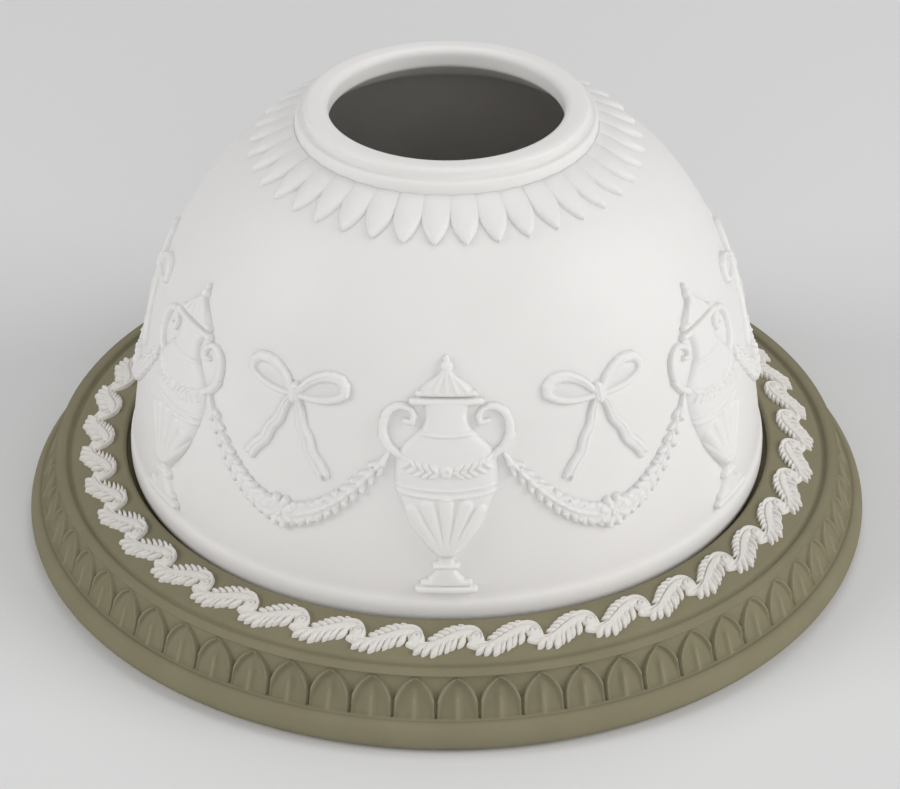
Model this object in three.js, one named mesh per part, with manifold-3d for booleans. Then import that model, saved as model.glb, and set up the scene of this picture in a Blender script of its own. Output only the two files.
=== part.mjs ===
// A votive candle holder: a sage green stoneware plate with a leaf-cut edge and a white running
// leaf border, a white bisque dome that lifts off it, and a tea light in a metal cup inside.
// Millimetres, +Z up, origin under the middle of the plate. Angles run from the front, to the right.

import * as THREE from 'three';
import { mergeVertices } from 'three/addons/utils/BufferGeometryUtils.js';
import Module from 'manifold-3d';

const wasm = await Module();
wasm.setup();

// Clearances
const restGap = 0.3;            // between a piece and what it rests on
const sprigGap = 0.3;           // between an applied relief and the surface under it
const seatClearance = 0.9;      // round the dome's foot, in the plate's seat
const candleClearance = 0.6;    // round the tea light, in the plate's ring
const waxClearance = 0.3;       // between the wax and its cup, wick and clip

// Plate
const rollHeight = 5.2;
const rollDepth = 2.35;         // how far the roll stands out from the leaf band
const rollBelly = 2.2;          // height of the roll's widest point
const bandRun = 2.55;           // how far the leaf band slopes in
const bandHeight = 6.9;
const leafCount = 64;
const leafTurn = 1.45;          // angle of the first leaf's middle
const leafGapDepth = 0.9;       // depth of the gaps between the leaf tips
const ridgeWidth = 2.8;
const ridgeRise = 0.2;
const grooveWidth = 1.5;
const grooveDepth = 0.6;
const flatWidth = 8.95;         // from the seat's edge to the groove
const flatFall = 2.1;           // how far the plate's flat falls towards the rim
const seatDepth = 2.6;
const seatEdge = 0.5;           // rounding at the top of the seat
const ledgeMargin = 1.4;        // of the seat's ledge, inside the dome's wall
const wellDepth = 4.4;          // below the seat's ledge
const underDepth = 3;           // of the hollow under the plate
const footWidth = 14;           // of the flat ring that the plate stands on
const ringWall = 2.4;           // of the ring round the tea light
const ringHeight = 2.4;

// Border of leaf scrolls on the plate
const borderStrips = 8;
const scrollsPerStrip = 5;
const borderInset = 0.6;        // from each edge of the flat to the border
const borderRelief = 0.9;
const stripGap = 0.8;           // between neighbouring strips, in degrees
const borderTurn = 8.5;         // angle of the first strip's middle

// Dome
const domeFootRadius = 57.2;
const domeRise = 67.9;          // from the foot to where the curve would close
const domeLean = 0.138;         // share by which the wall leans in over that rise
const domePower = 2.9;          // power of the curve, more is squarer
const domeWall = 3.2;
const footBandHeight = 4.6;
const footBandRelief = 0.3;
const topStepRadius = 25.9;
const topStepHeight = 2.4;
const lipRadius = 24.4;
const lipHeight = 4.2;          // of the mouth's lip, over the dome
const lipRounding = 1.2;
const mouthRadius = 20.2;
const mouthDepth = 3.4;         // of the mouth's straight wall
const flareRadius = 24.6;       // where the inside turns up to the mouth

// Collar of leaves under the mouth
const collarStrips = 8;
const leavesPerStrip = 5;
const collarLength = 8.9;
const collarTurn = 5.7;         // angle of the middle leaf of the first strip
const collarRelief = 0.8;

// Frieze: vases, with garlands between them and ribbon bows over the garlands
const bayCount = 6;
const friezeFoot = 6.4;         // along the wall, from the dome's foot
const vaseHeight = 40;
const vaseHalfWidth = 8.6;
const vaseRelief = 1.3;
const garlandHang = 30;         // height of a garland's ends, along the wall
const garlandSag = 13;
const garlandHalfWidth = 3.4;
const garlandRelief = 1.2;
const bowHeight = 38;           // of a bow's knot, along the wall
const bowSpan = 9;
const bowTail = 12;
const bowRelief = 1.1;

// Tea light
const candleRadius = 19;
const candleHeight = 16;
const cupWall = 0.4;
const cupLip = 0.5;
const waxDrop = 2.4;            // from the cup's edge down to the wax
const wickRadius = 0.9;
const wickHeight = 7;           // over the wax
const clipRadius = 6;
const clipHeight = 1;

// Smoothness: flat faces round each turned piece
const domeSides = 56;
const candleSides = 28;
const domeSteps = 8;            // faces up the dome's curve
const lipSteps = 2;             // faces over each rounding of the lip

// Heights and radii that follow
const seatRadius = domeFootRadius + seatClearance;
const flatInnerRadius = seatRadius + seatEdge;
const flatRadius = flatInnerRadius + flatWidth;
const grooveRadius = flatRadius + grooveWidth / 2;
const bandTopRadius = grooveRadius + ridgeWidth;
const bandFootRadius = bandTopRadius + bandRun;
const plateRadius = bandFootRadius + rollDepth;
const bandTopZ = rollHeight + bandHeight;
const ridgeZ = bandTopZ + ridgeRise;
const borderWidth = flatWidth - 2 * borderInset;
const flatTopZ = ridgeZ + flatFall;
const seatZ = flatTopZ - seatDepth;
const wellZ = seatZ - wellDepth;
const wellRadius = domeFootRadius - domeWall - ledgeMargin;
const domeFootZ = seatZ + restGap;
const candleZ = wellZ + restGap;
const candleRingRadius = candleRadius + cupLip + candleClearance;

const group = new THREE.Group();

function radians(degrees) {
  return THREE.MathUtils.degToRad(degrees);
}

// Geometry helpers

function clean(geometry) {
  const bare = geometry.clone();
  bare.deleteAttribute('normal');
  bare.deleteAttribute('uv');
  const merged = mergeVertices(bare, 1e-5);
  const kept = [];
  const index = merged.index.array;
  for (let i = 0; i < index.length; i += 3) {
    const [a, b, c] = [index[i], index[i + 1], index[i + 2]];
    if (a !== b && b !== c && c !== a) kept.push(a, b, c);
  }
  merged.setIndex(kept);
  return merged;
}

function geometryFrom(points, index) {
  const geometry = new THREE.BufferGeometry();
  geometry.setAttribute('position', new THREE.Float32BufferAttribute(points.flatMap((p) => p.toArray()), 3));
  geometry.setIndex(index);
  return geometry;
}

// A turned piece from a profile of [radius, height] points.
function turned(profile, sides) {
  const points = profile.map(([r, z]) => new THREE.Vector2(r, z));
  const geometry = new THREE.LatheGeometry(points, sides);
  geometry.rotateX(Math.PI / 2);
  return clean(geometry);
}

// A closed solid through rings of points, with flat ends.
function solidFromRings(rings) {
  const size = rings[0].length;
  const last = (rings.length - 1) * size;
  const index = [];
  for (let i = 0; i < rings.length - 1; i++) {
    for (let j = 0; j < size; j++) {
      const a = i * size + j;
      const b = i * size + (j + 1) % size;
      index.push(a, b, b + size, a, b + size, a + size);
    }
  }
  for (let j = 1; j < size - 1; j++) {
    index.push(0, j + 1, j, last, last + j, last + j + 1);
  }
  return geometryFrom(rings.flat(), index);
}

function toManifold(geometry) {
  const vertProperties = new Float32Array(geometry.attributes.position.array);
  const triVerts = new Uint32Array(geometry.index.array);
  return new wasm.Manifold(new wasm.Mesh({ numProp: 3, vertProperties, triVerts }));
}

function joined(geometries) {
  let solid = toManifold(geometries[0]);
  for (const next of geometries.slice(1)) solid = solid.add(toManifold(next));
  const mesh = solid.getMesh();
  const geometry = new THREE.BufferGeometry();
  geometry.setAttribute('position', new THREE.Float32BufferAttribute(mesh.vertProperties, 3));
  geometry.setIndex(Array.from(mesh.triVerts));
  return geometry;
}

function material(color, roughness, metalness = 0) {
  return new THREE.MeshStandardMaterial({ color, roughness, metalness, flatShading: true });
}

function addPiece(name, geometry, color, roughness, metalness) {
  const mesh = new THREE.Mesh(geometry, material(color, roughness, metalness));
  mesh.name = name;
  group.add(mesh);
}

const SAGE = 0x6b6657;
const WHITE = 0xe2dedb;
const CREAM = 0xe6dfc8;
const METAL = 0xc4c6c8;

// Surfaces that reliefs lie on. Each gives the point at an angle and a distance along the
// surface, lifted off it, and the radius there.

function around(radius, angle, height) {
  return new THREE.Vector3(radius * Math.sin(radians(angle)), -radius * Math.cos(radians(angle)), height);
}

// The dome's curve, outside or inside: turn runs from 0 at the foot to a quarter circle at the top.
function domePoint(turn, inset = 0) {
  const share = Math.sin(turn) ** (2 / domePower);
  const radius = (domeFootRadius - inset) * (1 - domeLean * share) * Math.cos(turn) ** (2 / domePower);
  return new THREE.Vector2(radius, domeFootZ + (domeRise - inset) * share);
}

function turnAtRadius(radius, inset = 0) {
  let low = 0;
  let high = Math.PI / 2;
  for (let i = 0; i < 40; i++) {
    const middle = (low + high) / 2;
    if (domePoint(middle, inset).x > radius) low = middle;
    else high = middle;
  }
  return low;
}

function domeCurve(steps, inset, endRadius) {
  const end = turnAtRadius(endRadius, inset);
  return Array.from({ length: steps + 1 }, (_, i) => domePoint(end * (i / steps), inset));
}

const domeLine = new THREE.SplineCurve(domeCurve(60, 0, topStepRadius));
const domeLineLength = domeLine.getLength();

const domeSurface = {
  radius: (along) => domeLine.getPointAt(along / domeLineLength).x,
  point: (angle, along, lift) => {
    const share = Math.min(Math.max(along / domeLineLength, 0), 1);
    const point = domeLine.getPointAt(share);
    const slope = domeLine.getTangentAt(share);
    return around(point.x + slope.y * lift, angle, point.y - slope.x * lift);
  },
};

function flatHeight(radius) {
  return THREE.MathUtils.mapLinear(radius, flatInnerRadius, flatRadius, flatTopZ, ridgeZ);
}

const flatSurface = {
  radius: (along) => flatRadius - along,
  point: (angle, along, lift) => around(flatRadius - along, angle, flatHeight(flatRadius - along) + lift),
};

// Cross-sections of a relief, as shares of its half width and rise: swelling, flat-topped or ridged.
const SWELLING = [[-1, 0], [-0.6, 0.85], [0, 1], [0.6, 0.85], [1, 0], [0, 0]];
const FLAT_TOPPED = [[-1, 0], [-0.6, 1], [0.6, 1], [1, 0]];
const RIDGED = [[-1, 0], [0, 1], [1, 0]];

// A raised band along a line of stops on a surface. A stop is { angle, along, half, rise }:
// its place, its half width and how high it stands.
function reliefBand(surface, section, stops) {
  const rings = stops.map((stop, i) => {
    const before = stops[Math.max(i - 1, 0)];
    const after = stops[Math.min(i + 1, stops.length - 1)];
    const millimetres = radians(1) * surface.radius(stop.along);
    const line = new THREE.Vector2((after.angle - before.angle) * millimetres, after.along - before.along);
    line.normalize();
    return section.map(([side, share]) => {
      const angle = stop.angle + (line.y * side * stop.half) / millimetres;
      const along = stop.along - line.x * side * stop.half;
      return surface.point(angle, along, sprigGap + share * stop.rise);
    });
  });
  return solidFromRings(rings);
}

// Plate

// Columns of points round the plate: as many as leaves, or twice as many in the leaf band,
// where every second column lies in a gap between two leaves.
function plateRow(radius, height) {
  return Array.from({ length: leafCount }, (_, i) => (
    around(radius, leafTurn + (360 * i) / leafCount, height)));
}

function leafRow(share, depth) {
  const slope = new THREE.Vector2(bandHeight, bandRun).normalize();
  return Array.from({ length: 2 * leafCount }, (_, i) => {
    const inset = i % 2 ? depth : 0;
    const radius = bandFootRadius - bandRun * share - inset * slope.x;
    return around(radius, leafTurn + (180 * i) / leafCount, rollHeight + bandHeight * share - inset * slope.y);
  });
}

// Faces between two rows of the same length, or where one has twice the columns of the other.
function rowFaces(lower, upper, lowerStart, upperStart) {
  const faces = [];
  const count = Math.min(lower.length, upper.length);
  const below = (i) => lowerStart + ((i + lower.length) % lower.length);
  const above = (i) => upperStart + ((i + upper.length) % upper.length);
  for (let i = 0; i < count; i++) {
    if (lower.length === upper.length) {
      faces.push(below(i), below(i + 1), above(i + 1), below(i), above(i + 1), above(i));
    } else if (upper.length > lower.length) {
      faces.push(below(i), above(2 * i + 1), above(2 * i));
      faces.push(below(i), below(i + 1), above(2 * i + 1));
      faces.push(below(i + 1), above(2 * i + 2), above(2 * i + 1));
    } else {
      faces.push(above(i), below(2 * i), below(2 * i + 1));
      faces.push(above(i), below(2 * i + 1), above(i + 1));
      faces.push(above(i + 1), below(2 * i + 1), below(2 * i + 2));
    }
  }
  return faces;
}

function capFaces(row, start, centre, upward) {
  return row.flatMap((_, i) => {
    const next = (i + 1) % row.length;
    return upward ? [start + i, start + next, centre] : [start + next, start + i, centre];
  });
}

function plateGeometry() {
  const rollTopRadius = bandFootRadius + 0.25 * rollDepth;
  const footRadius = plateRadius - rollBelly * 0.9;
  const ringOuter = candleRingRadius + ringWall;
  const rows = [
    plateRow(footRadius - footWidth - underDepth, underDepth),
    plateRow(footRadius - footWidth, 0),
    plateRow(footRadius, 0),
    plateRow(plateRadius, rollBelly),
    plateRow(plateRadius - rollDepth * 0.14, rollBelly + (rollHeight - rollBelly) * 0.5),
    plateRow(plateRadius - rollDepth * 0.42, rollBelly + (rollHeight - rollBelly) * 0.85),
    plateRow(rollTopRadius, rollHeight),
    leafRow(0.04, 0),
    leafRow(0.5, leafGapDepth * 0.5),
    leafRow(1, leafGapDepth),
    plateRow(bandTopRadius - ridgeWidth * 0.3, ridgeZ),
    plateRow(grooveRadius + ridgeWidth * 0.25, ridgeZ),
    plateRow(grooveRadius, ridgeZ - grooveDepth),
    plateRow(flatRadius, ridgeZ),
    plateRow(flatInnerRadius, flatTopZ),
    plateRow(seatRadius, flatTopZ - seatEdge),
    plateRow(seatRadius, seatZ),
    plateRow(wellRadius, seatZ),
    plateRow(wellRadius - wellDepth / 2, wellZ),
    plateRow(ringOuter, wellZ),
    plateRow(ringOuter - ringHeight / 6, wellZ + ringHeight),
    plateRow(candleRingRadius + ringHeight / 6, wellZ + ringHeight),
    plateRow(candleRingRadius, wellZ),
  ];
  const points = rows.flat();
  const index = [];
  let start = 0;
  for (let i = 0; i < rows.length - 1; i++) {
    const nextStart = start + rows[i].length;
    index.push(...rowFaces(rows[i], rows[i + 1], start, nextStart));
    start = nextStart;
  }
  points.push(new THREE.Vector3(0, 0, underDepth), new THREE.Vector3(0, 0, wellZ));
  index.push(...capFaces(rows[0], 0, points.length - 2, false));
  index.push(...capFaces(rows.at(-1), start, points.length - 1, true));
  return geometryFrom(points, index);
}

// One strip of the border: a wavy stem that swells into a scroll at each crest.
function borderStrip(strip) {
  const span = 360 / borderStrips;
  const steps = scrollsPerStrip * 5;
  const first = borderTurn + strip * span - span / 2 + stripGap / 2;
  const stops = Array.from({ length: steps + 1 }, (_, i) => {
    const phase = (2 * Math.PI * i * scrollsPerStrip) / steps;
    const swing = Math.sin(phase - 0.9);
    const taper = i === 0 || i === steps ? 0.4 : 1;
    return {
      angle: first + ((span - stripGap) * i) / steps,
      along: borderInset + borderWidth * (0.5 + 0.22 * swing),
      half: borderWidth * (0.2 + 0.06 * Math.cos(phase)) * taper,
      rise: borderRelief,
    };
  });
  return reliefBand(flatSurface, FLAT_TOPPED, stops);
}

// Dome

function domeGeometry() {
  const outer = domeCurve(domeSteps, 0, topStepRadius).filter((p) => p.y > domeFootZ + footBandHeight + 1);
  const inner = domeCurve(domeSteps, domeWall, flareRadius).reverse();
  const topZ = outer.at(-1).y;
  const bandRadius = domeFootRadius + footBandRelief - 0.3;
  const stepTopZ = topZ + topStepHeight;
  const lipZ = topZ + lipHeight;
  const profile = [
    [domeFootRadius - 0.9, domeFootZ],
    [bandRadius, domeFootZ + 0.9],
    [bandRadius, domeFootZ + footBandHeight],
    [bandRadius - footBandRelief - 0.2, domeFootZ + footBandHeight + footBandRelief],
    ...outer.map((p) => [p.x, p.y]),
    [topStepRadius, stepTopZ - 0.7],
    [topStepRadius - 0.5, stepTopZ],
    [lipRadius + 0.2, stepTopZ + 0.1],
    [lipRadius, stepTopZ + 0.5],
  ];
  for (const [centre, start] of [[lipRadius - lipRounding, 0], [mouthRadius + lipRounding, Math.PI / 2]]) {
    for (let i = 0; i <= lipSteps; i++) {
      const turn = start + (Math.PI / 2) * (i / lipSteps);
      profile.push([centre + lipRounding * Math.cos(turn), lipZ - lipRounding * (1 - Math.sin(turn))]);
    }
  }
  profile.push([mouthRadius, lipZ - mouthDepth]);
  profile.push(...inner.map((p) => [p.x, p.y]));
  profile.push(profile[0]);
  return turned(profile, domeSides);
}

// One strip of the collar: pointed leaves that overlap at their roots.
function collarStrip(strip) {
  const pitch = 360 / (collarStrips * leavesPerStrip);
  const leaves = Array.from({ length: leavesPerStrip }, (_, i) => {
    const angle = collarTurn + (strip * leavesPerStrip + i - (leavesPerStrip - 1) / 2) * pitch;
    const root = domeLineLength - sprigGap;
    const rootHalf = (radians(pitch) * domeSurface.radius(root)) / 2;
    const places = [[0, 1.06, 0.7], [0.5, 1.02, 1], [1, 0.1, 0.5]];
    return reliefBand(domeSurface, RIDGED, places.map(([share, width, rise]) => ({
      angle,
      along: root - collarLength * share,
      half: rootHalf * width,
      rise: collarRelief * rise,
    })));
  });
  return joined(leaves);
}

// Frieze

// Half width of a vase up its height, as shares of the two sizes.
const VASE_SHAPE = [
  [0, 0.56], [0.05, 0.52], [0.1, 0.24], [0.17, 0.2], [0.25, 0.52], [0.37, 0.86],
  [0.5, 1], [0.6, 0.9], [0.68, 0.52], [0.76, 0.42], [0.85, 0.7], [0.89, 0.6], [0.94, 0.3], [1, 0.1],
];

function vase(bay) {
  const angle = (360 * bay) / bayCount;
  return reliefBand(domeSurface, SWELLING, VASE_SHAPE.map(([share, width]) => ({
    angle,
    along: friezeFoot + vaseHeight * share,
    half: vaseHalfWidth * width,
    rise: vaseRelief,
  })));
}

// The angle that a width along the wall takes up, at a height along the wall.
function widthAngle(width, along) {
  return width / (radians(1) * domeSurface.radius(along));
}

function garland(bay) {
  const steps = 10;
  const bayAngle = 360 / bayCount;
  const reach = bayAngle / 2 - widthAngle(vaseHalfWidth + 1.5, garlandHang);
  return reliefBand(domeSurface, SWELLING, Array.from({ length: steps + 1 }, (_, i) => {
    const side = (2 * i) / steps - 1;
    return {
      angle: (bay + 0.5) * bayAngle + reach * side,
      along: garlandHang - garlandSag * (1 - side * side),
      half: garlandHalfWidth * (0.4 + 0.6 * (1 - side * side)),
      rise: garlandRelief,
    };
  }));
}

function bow(bay) {
  const middle = ((bay + 0.5) * 360) / bayCount;
  const at = (across, up, half) => ({
    angle: middle + widthAngle(across, bowHeight + up),
    along: bowHeight + up,
    half,
    rise: bowRelief,
  });
  const parts = [];
  for (const side of [-1, 1]) {
    parts.push(reliefBand(domeSurface, RIDGED, [
      at(-0.4 * side, -0.2, 0.9),
      at(side * bowSpan * 0.45, 1.4, 2.2),
      at(side * bowSpan * 0.8, 1.9, 2),
      at(side * bowSpan, 1.6, 0.7),
    ]));
    parts.push(reliefBand(domeSurface, RIDGED, [
      at(-0.4 * side, 0.3, 0.9),
      at(side * bowTail * 0.3, -bowTail * 0.3, 1.3),
      at(side * bowTail * 0.42, -bowTail * 0.62, 1.5),
      at(side * bowTail * 0.62, -bowTail * 0.9, 0.9),
    ]));
  }
  return joined(parts);
}

// Tea light

function cupGeometry() {
  const top = candleZ + candleHeight;
  return turned([
    [0, candleZ],
    [candleRadius - 1, candleZ],
    [candleRadius, candleZ + 1],
    [candleRadius, top - cupLip],
    [candleRadius + cupLip, top - cupLip],
    [candleRadius + cupLip, top],
    [candleRadius - cupWall, top],
    [candleRadius - cupWall, candleZ + 1 + cupWall],
    [candleRadius - 1 - cupWall, candleZ + cupWall],
    [0, candleZ + cupWall],
  ], candleSides);
}

const cupFloorZ = candleZ + cupWall;
const waxTopZ = candleZ + candleHeight - waxDrop;
const clipZ = cupFloorZ + restGap;
const stemRadius = wickRadius + 2 * waxClearance;

// The wax is hollowed below for the wick's clip and has a hole for the wick.
function waxGeometry() {
  const radius = candleRadius - cupWall - waxClearance;
  const bottom = cupFloorZ + restGap;
  const profile = [
    [clipRadius + waxClearance, bottom],
    [radius - 1, bottom],
    [radius, bottom + 1],
    [radius, waxTopZ],
    [stemRadius, waxTopZ - 0.4],
    [stemRadius, clipZ + clipHeight + waxClearance],
    [clipRadius + waxClearance, clipZ + clipHeight + waxClearance],
  ];
  profile.push(profile[0]);
  return turned(profile, candleSides);
}

function clipGeometry() {
  return turned([
    [0, clipZ],
    [clipRadius, clipZ],
    [clipRadius, clipZ + clipHeight / 2],
    [wickRadius + 1, clipZ + clipHeight],
    [0, clipZ + clipHeight],
  ], candleSides / 2);
}

function wickGeometry() {
  const bottom = clipZ + clipHeight + restGap;
  const top = waxTopZ + wickHeight;
  return turned([
    [0, bottom],
    [wickRadius, bottom],
    [wickRadius, top - wickRadius],
    [wickRadius / 2, top],
    [0, top],
  ], 8);
}

// The whole holder

addPiece('base_plate', plateGeometry(), SAGE, 0.85);
for (let i = 0; i < borderStrips; i++) {
  addPiece(`border_strip_${i + 1}`, borderStrip(i), WHITE, 0.7);
}
addPiece('dome_shade', domeGeometry(), WHITE, 0.6);
for (let i = 0; i < collarStrips; i++) {
  addPiece(`collar_strip_${i + 1}`, collarStrip(i), WHITE, 0.6);
}
for (let i = 0; i < bayCount; i++) {
  addPiece(`vase_${i + 1}`, vase(i), WHITE, 0.6);
  addPiece(`garland_${i + 1}`, garland(i), WHITE, 0.6);
  addPiece(`bow_${i + 1}`, bow(i), WHITE, 0.6);
}
addPiece('tealight_cup', cupGeometry(), METAL, 0.35, 1);
addPiece('tealight_wax', waxGeometry(), CREAM, 0.5);
addPiece('wick_clip', clipGeometry(), METAL, 0.5, 1);
addPiece('wick', wickGeometry(), CREAM, 0.9);

export default group;
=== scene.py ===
"""Dresses the votive candle holder: stoneware plate, leaf borders, bisque dome, frieze and tea light."""

import logging
import math
from collections.abc import Callable
from dataclasses import dataclass, field
from enum import Enum

import bmesh
import bpy
import numpy as np
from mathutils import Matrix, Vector


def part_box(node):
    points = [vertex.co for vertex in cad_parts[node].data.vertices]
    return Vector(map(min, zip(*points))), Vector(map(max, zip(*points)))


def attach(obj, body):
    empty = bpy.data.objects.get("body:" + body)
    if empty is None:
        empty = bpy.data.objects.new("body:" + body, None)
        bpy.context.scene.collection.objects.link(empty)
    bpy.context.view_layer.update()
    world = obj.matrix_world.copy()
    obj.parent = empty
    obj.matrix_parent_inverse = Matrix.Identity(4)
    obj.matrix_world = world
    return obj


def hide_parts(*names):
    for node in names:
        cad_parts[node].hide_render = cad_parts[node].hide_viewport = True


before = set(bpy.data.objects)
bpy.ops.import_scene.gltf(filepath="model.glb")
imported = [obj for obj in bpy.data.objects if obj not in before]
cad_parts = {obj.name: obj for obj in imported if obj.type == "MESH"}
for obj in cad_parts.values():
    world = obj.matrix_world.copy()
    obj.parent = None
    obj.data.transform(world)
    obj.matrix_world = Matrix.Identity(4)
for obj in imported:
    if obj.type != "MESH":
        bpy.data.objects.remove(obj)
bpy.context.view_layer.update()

log = logging.getLogger("votive_holder")

MM = 0.001
FULL_TURN = 360.0
NOISE_SHIFT = (0.37, 0.61, 0.83)
# The mesh attribute that carries a painted highlight: paler colour on the raised rims of the plate's leaf
# band, darker in its sunk fields.
PAINTED_CREST_LIGHT = "crest"
LEAF_STATIONS = (0, 0.3, 0.6, 0.85, 1)
LEAF_HALVES = (0.55, 0.95, 1.0, 0.6, 0.12)
LEAF_RISES = (0.6, 0.9, 1.0, 0.9, 0.5)
TOOTH_HALVES = (0.9, 1.0, 0.72, 0.4, 0.05)

Place = Callable[[np.ndarray, np.ndarray, np.ndarray], np.ndarray]
Spot = tuple[float, float] | np.ndarray


class Body(Enum):
    """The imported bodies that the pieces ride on."""

    PLATE = "plate"
    SHADE = "shade"
    CANDLE = "candle"


def box_mm(node: str) -> tuple[Vector, Vector]:
    """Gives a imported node's lowest and highest corner in millimetres."""
    low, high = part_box(node)
    return low / MM, high / MM


# Shader maths


class Socket:
    """A shader value that Python's operators turn into Math nodes."""

    def __init__(self, shader: "Shader", link: bpy.types.NodeSocket) -> None:
        """Wraps one output socket.

        Args:
            shader: The material's node builder.
            link: The output socket that carries the value.
        """
        self.shader = shader
        self.link = link

    def _math(self, operation: str, *values: "Socket | float") -> "Socket":
        """Adds one Math node.

        Args:
            operation: The Math node's operation.
            values: Its inputs, in order.

        Returns:
            The node's result.
        """
        return self.shader.node("ShaderNodeMath", {"operation": operation}, dict(enumerate(values)))

    def __add__(self, other: "Socket | float") -> "Socket":
        """Adds a value."""
        return self._math("ADD", self, other)

    def __radd__(self, other: float) -> "Socket":
        """Adds to a plain number."""
        return self._math("ADD", other, self)

    def __sub__(self, other: "Socket | float") -> "Socket":
        """Takes a value away."""
        return self._math("SUBTRACT", self, other)

    def __rsub__(self, other: float) -> "Socket":
        """Takes this value from a plain number."""
        return self._math("SUBTRACT", other, self)

    def __mul__(self, other: "Socket | float") -> "Socket":
        """Multiplies by a value."""
        return self._math("MULTIPLY", self, other)

    def __rmul__(self, other: float) -> "Socket":
        """Multiplies a plain number."""
        return self._math("MULTIPLY", other, self)

    def clamped(self) -> "Socket":
        """Keeps the value between 0 and 1."""
        return self._math("MINIMUM", self._math("MAXIMUM", self, 0.0), 1.0)


class Shader:
    """Builds one material's nodes."""

    def __init__(self, name: str) -> None:
        """Makes an empty material with its output and object coordinates, moved off the noise's own middle.

        Args:
            name: The material's name.
        """
        self.material = bpy.data.materials.new(name)
        self.material.use_nodes = True
        self.tree = self.material.node_tree
        self.tree.nodes.clear()
        self.output = self.tree.nodes.new("ShaderNodeOutputMaterial")
        middle = self.node("ShaderNodeTexCoord", {}, {}, "Object")
        self.place = self.node("ShaderNodeMapping", {}, {"Vector": middle, "Location": NOISE_SHIFT})

    def node(self, kind: str, settings: dict, values: dict, result: int | str = 0) -> Socket:
        """Adds one node.

        Args:
            kind: The node's type.
            settings: Its properties, set before its sockets.
            values: Numbers, colours or sockets for its inputs, by name or number.
            result: The output to give back, by name or number.

        Returns:
            The chosen output.
        """
        made = self.tree.nodes.new(kind)
        for key, value in settings.items():
            setattr(made, key, value)
        for key, value in values.items():
            if isinstance(value, Socket):
                self.tree.links.new(value.link, made.inputs[key])
            else:
                made.inputs[key].default_value = value
        return Socket(self, made.outputs[result])

    def noise(self, scale: float, detail: float = 3.0, roughness: float = 0.55) -> Socket:
        """Gives a noise value over the object.

        Args:
            scale: Its frequency, per metre.
            detail: Its number of octaves.
            roughness: How strong the finer octaves are.

        Returns:
            The noise, about 0 to 1.
        """
        values = {"Vector": self.place, "Scale": scale, "Detail": detail, "Roughness": roughness}
        return self.node("ShaderNodeTexNoise", {}, values, "Fac")

    def mixed(self, share: Socket, first: tuple | Socket, second: tuple) -> Socket:
        """Mixes two colours.

        Args:
            share: How much of the second colour shows.
            first: The colour at 0.
            second: The colour at 1.

        Returns:
            The mixed colour.
        """
        settings = {"data_type": "RGBA", "clamp_factor": True}
        return self.node("ShaderNodeMix", settings, {0: share, 6: first, 7: second}, 2)

    def ramp(self, value: Socket, low: float, high: float) -> Socket:
        """Stretches a value from between two levels to 0 to 1."""
        return ((value - low) * (1.0 / (high - low))).clamped()

    def bump(self, height: Socket, strength: float, depth_mm: float) -> Socket:
        """Makes a bump normal.

        Args:
            height: The height, 0 to 1.
            strength: How much of it shows.
            depth_mm: The depth of a full step.

        Returns:
            The bumped normal.
        """
        values = {"Strength": strength, "Distance": depth_mm * MM, "Height": height}
        return self.node("ShaderNodeBump", {}, values, "Normal")

    def finish(self, values: dict) -> bpy.types.Material:
        """Closes the material with a principled surface.

        Args:
            values: The surface's inputs, by name.

        Returns:
            The finished material.
        """
        surface = self.node("ShaderNodeBsdfPrincipled", {}, values, "BSDF")
        self.tree.links.new(surface.link, self.output.inputs["Surface"])
        return self.material


Colour = tuple[float, float, float, float]


@dataclass(frozen=True)
class Bisque:
    """Unglazed white porcelain: smooth, faintly warm, soft at its edges."""

    name: str
    slot: str
    colour: Colour
    shade: Colour
    roughness: float
    grain_mm: float
    glow: float

    def build(self) -> bpy.types.Material:
        """Builds the material.

        Returns:
            The finished material.
        """
        shader = Shader(self.name)
        cloud = shader.ramp(shader.noise(38.0, detail=2.0), 0.3, 0.7)
        speck = shader.noise(2600.0, roughness=0.7)
        fine = shader.noise(900.0, detail=4.0, roughness=0.6)
        return shader.finish(
            {
                "Base Color": shader.mixed(cloud * 0.5 + fine * 0.3, self.colour, self.shade),
                "Roughness": fine * 0.16 + (self.roughness - 0.08),
                "Normal": shader.bump(speck * 0.6 + fine * 0.4, 0.35, self.grain_mm),
                "Specular IOR Level": 0.4,
                "Subsurface Weight": self.glow,
                "Subsurface Radius": (1.0, 0.94, 0.88),
                "Subsurface Scale": 2.0 * MM,
            }
        )


@dataclass(frozen=True)
class Stoneware:
    """Unglazed coloured stoneware: dry, fine-grained, with faint mottling, fine pale specks, and a painted
    highlight that pales the raised crests where light catches them.
    """

    name: str
    slot: str
    colour: Colour
    # Colour of the fine random specks and of the painted highlight on raised crests.
    pale: Colour
    dark: Colour
    roughness: float

    def build(self) -> bpy.types.Material:
        """Builds the material.

        Returns:
            The finished material.
        """
        shader = Shader(self.name)
        mottle = shader.ramp(shader.noise(95.0, detail=4.0), 0.32, 0.68)
        grain = shader.noise(2100.0, detail=4.0, roughness=0.7)
        speck = shader.ramp(shader.noise(1500.0, detail=2.0), 0.66, 0.74)
        body = shader.mixed(mottle * 0.55, self.colour, self.dark)
        # Painted highlight: the crest attribute pales the band's raised rims and leaves its sunk fields
        # darker, standing in for light on the rims and shade in the hollows. The same pale colour also shows
        # in random fine specks.
        crest_highlight = shader.node("ShaderNodeAttribute", {"attribute_name": PAINTED_CREST_LIGHT}, {}, "Fac")
        highlit_and_speckled = shader.mixed(crest_highlight * 0.6 + speck * 0.3, body, self.pale)
        return shader.finish(
            {
                "Base Color": highlit_and_speckled,
                "Roughness": grain * 0.2 + (self.roughness - 0.1),
                "Normal": shader.bump(grain, 0.35, 0.03),
                "Specular IOR Level": 0.2,
            }
        )


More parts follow.
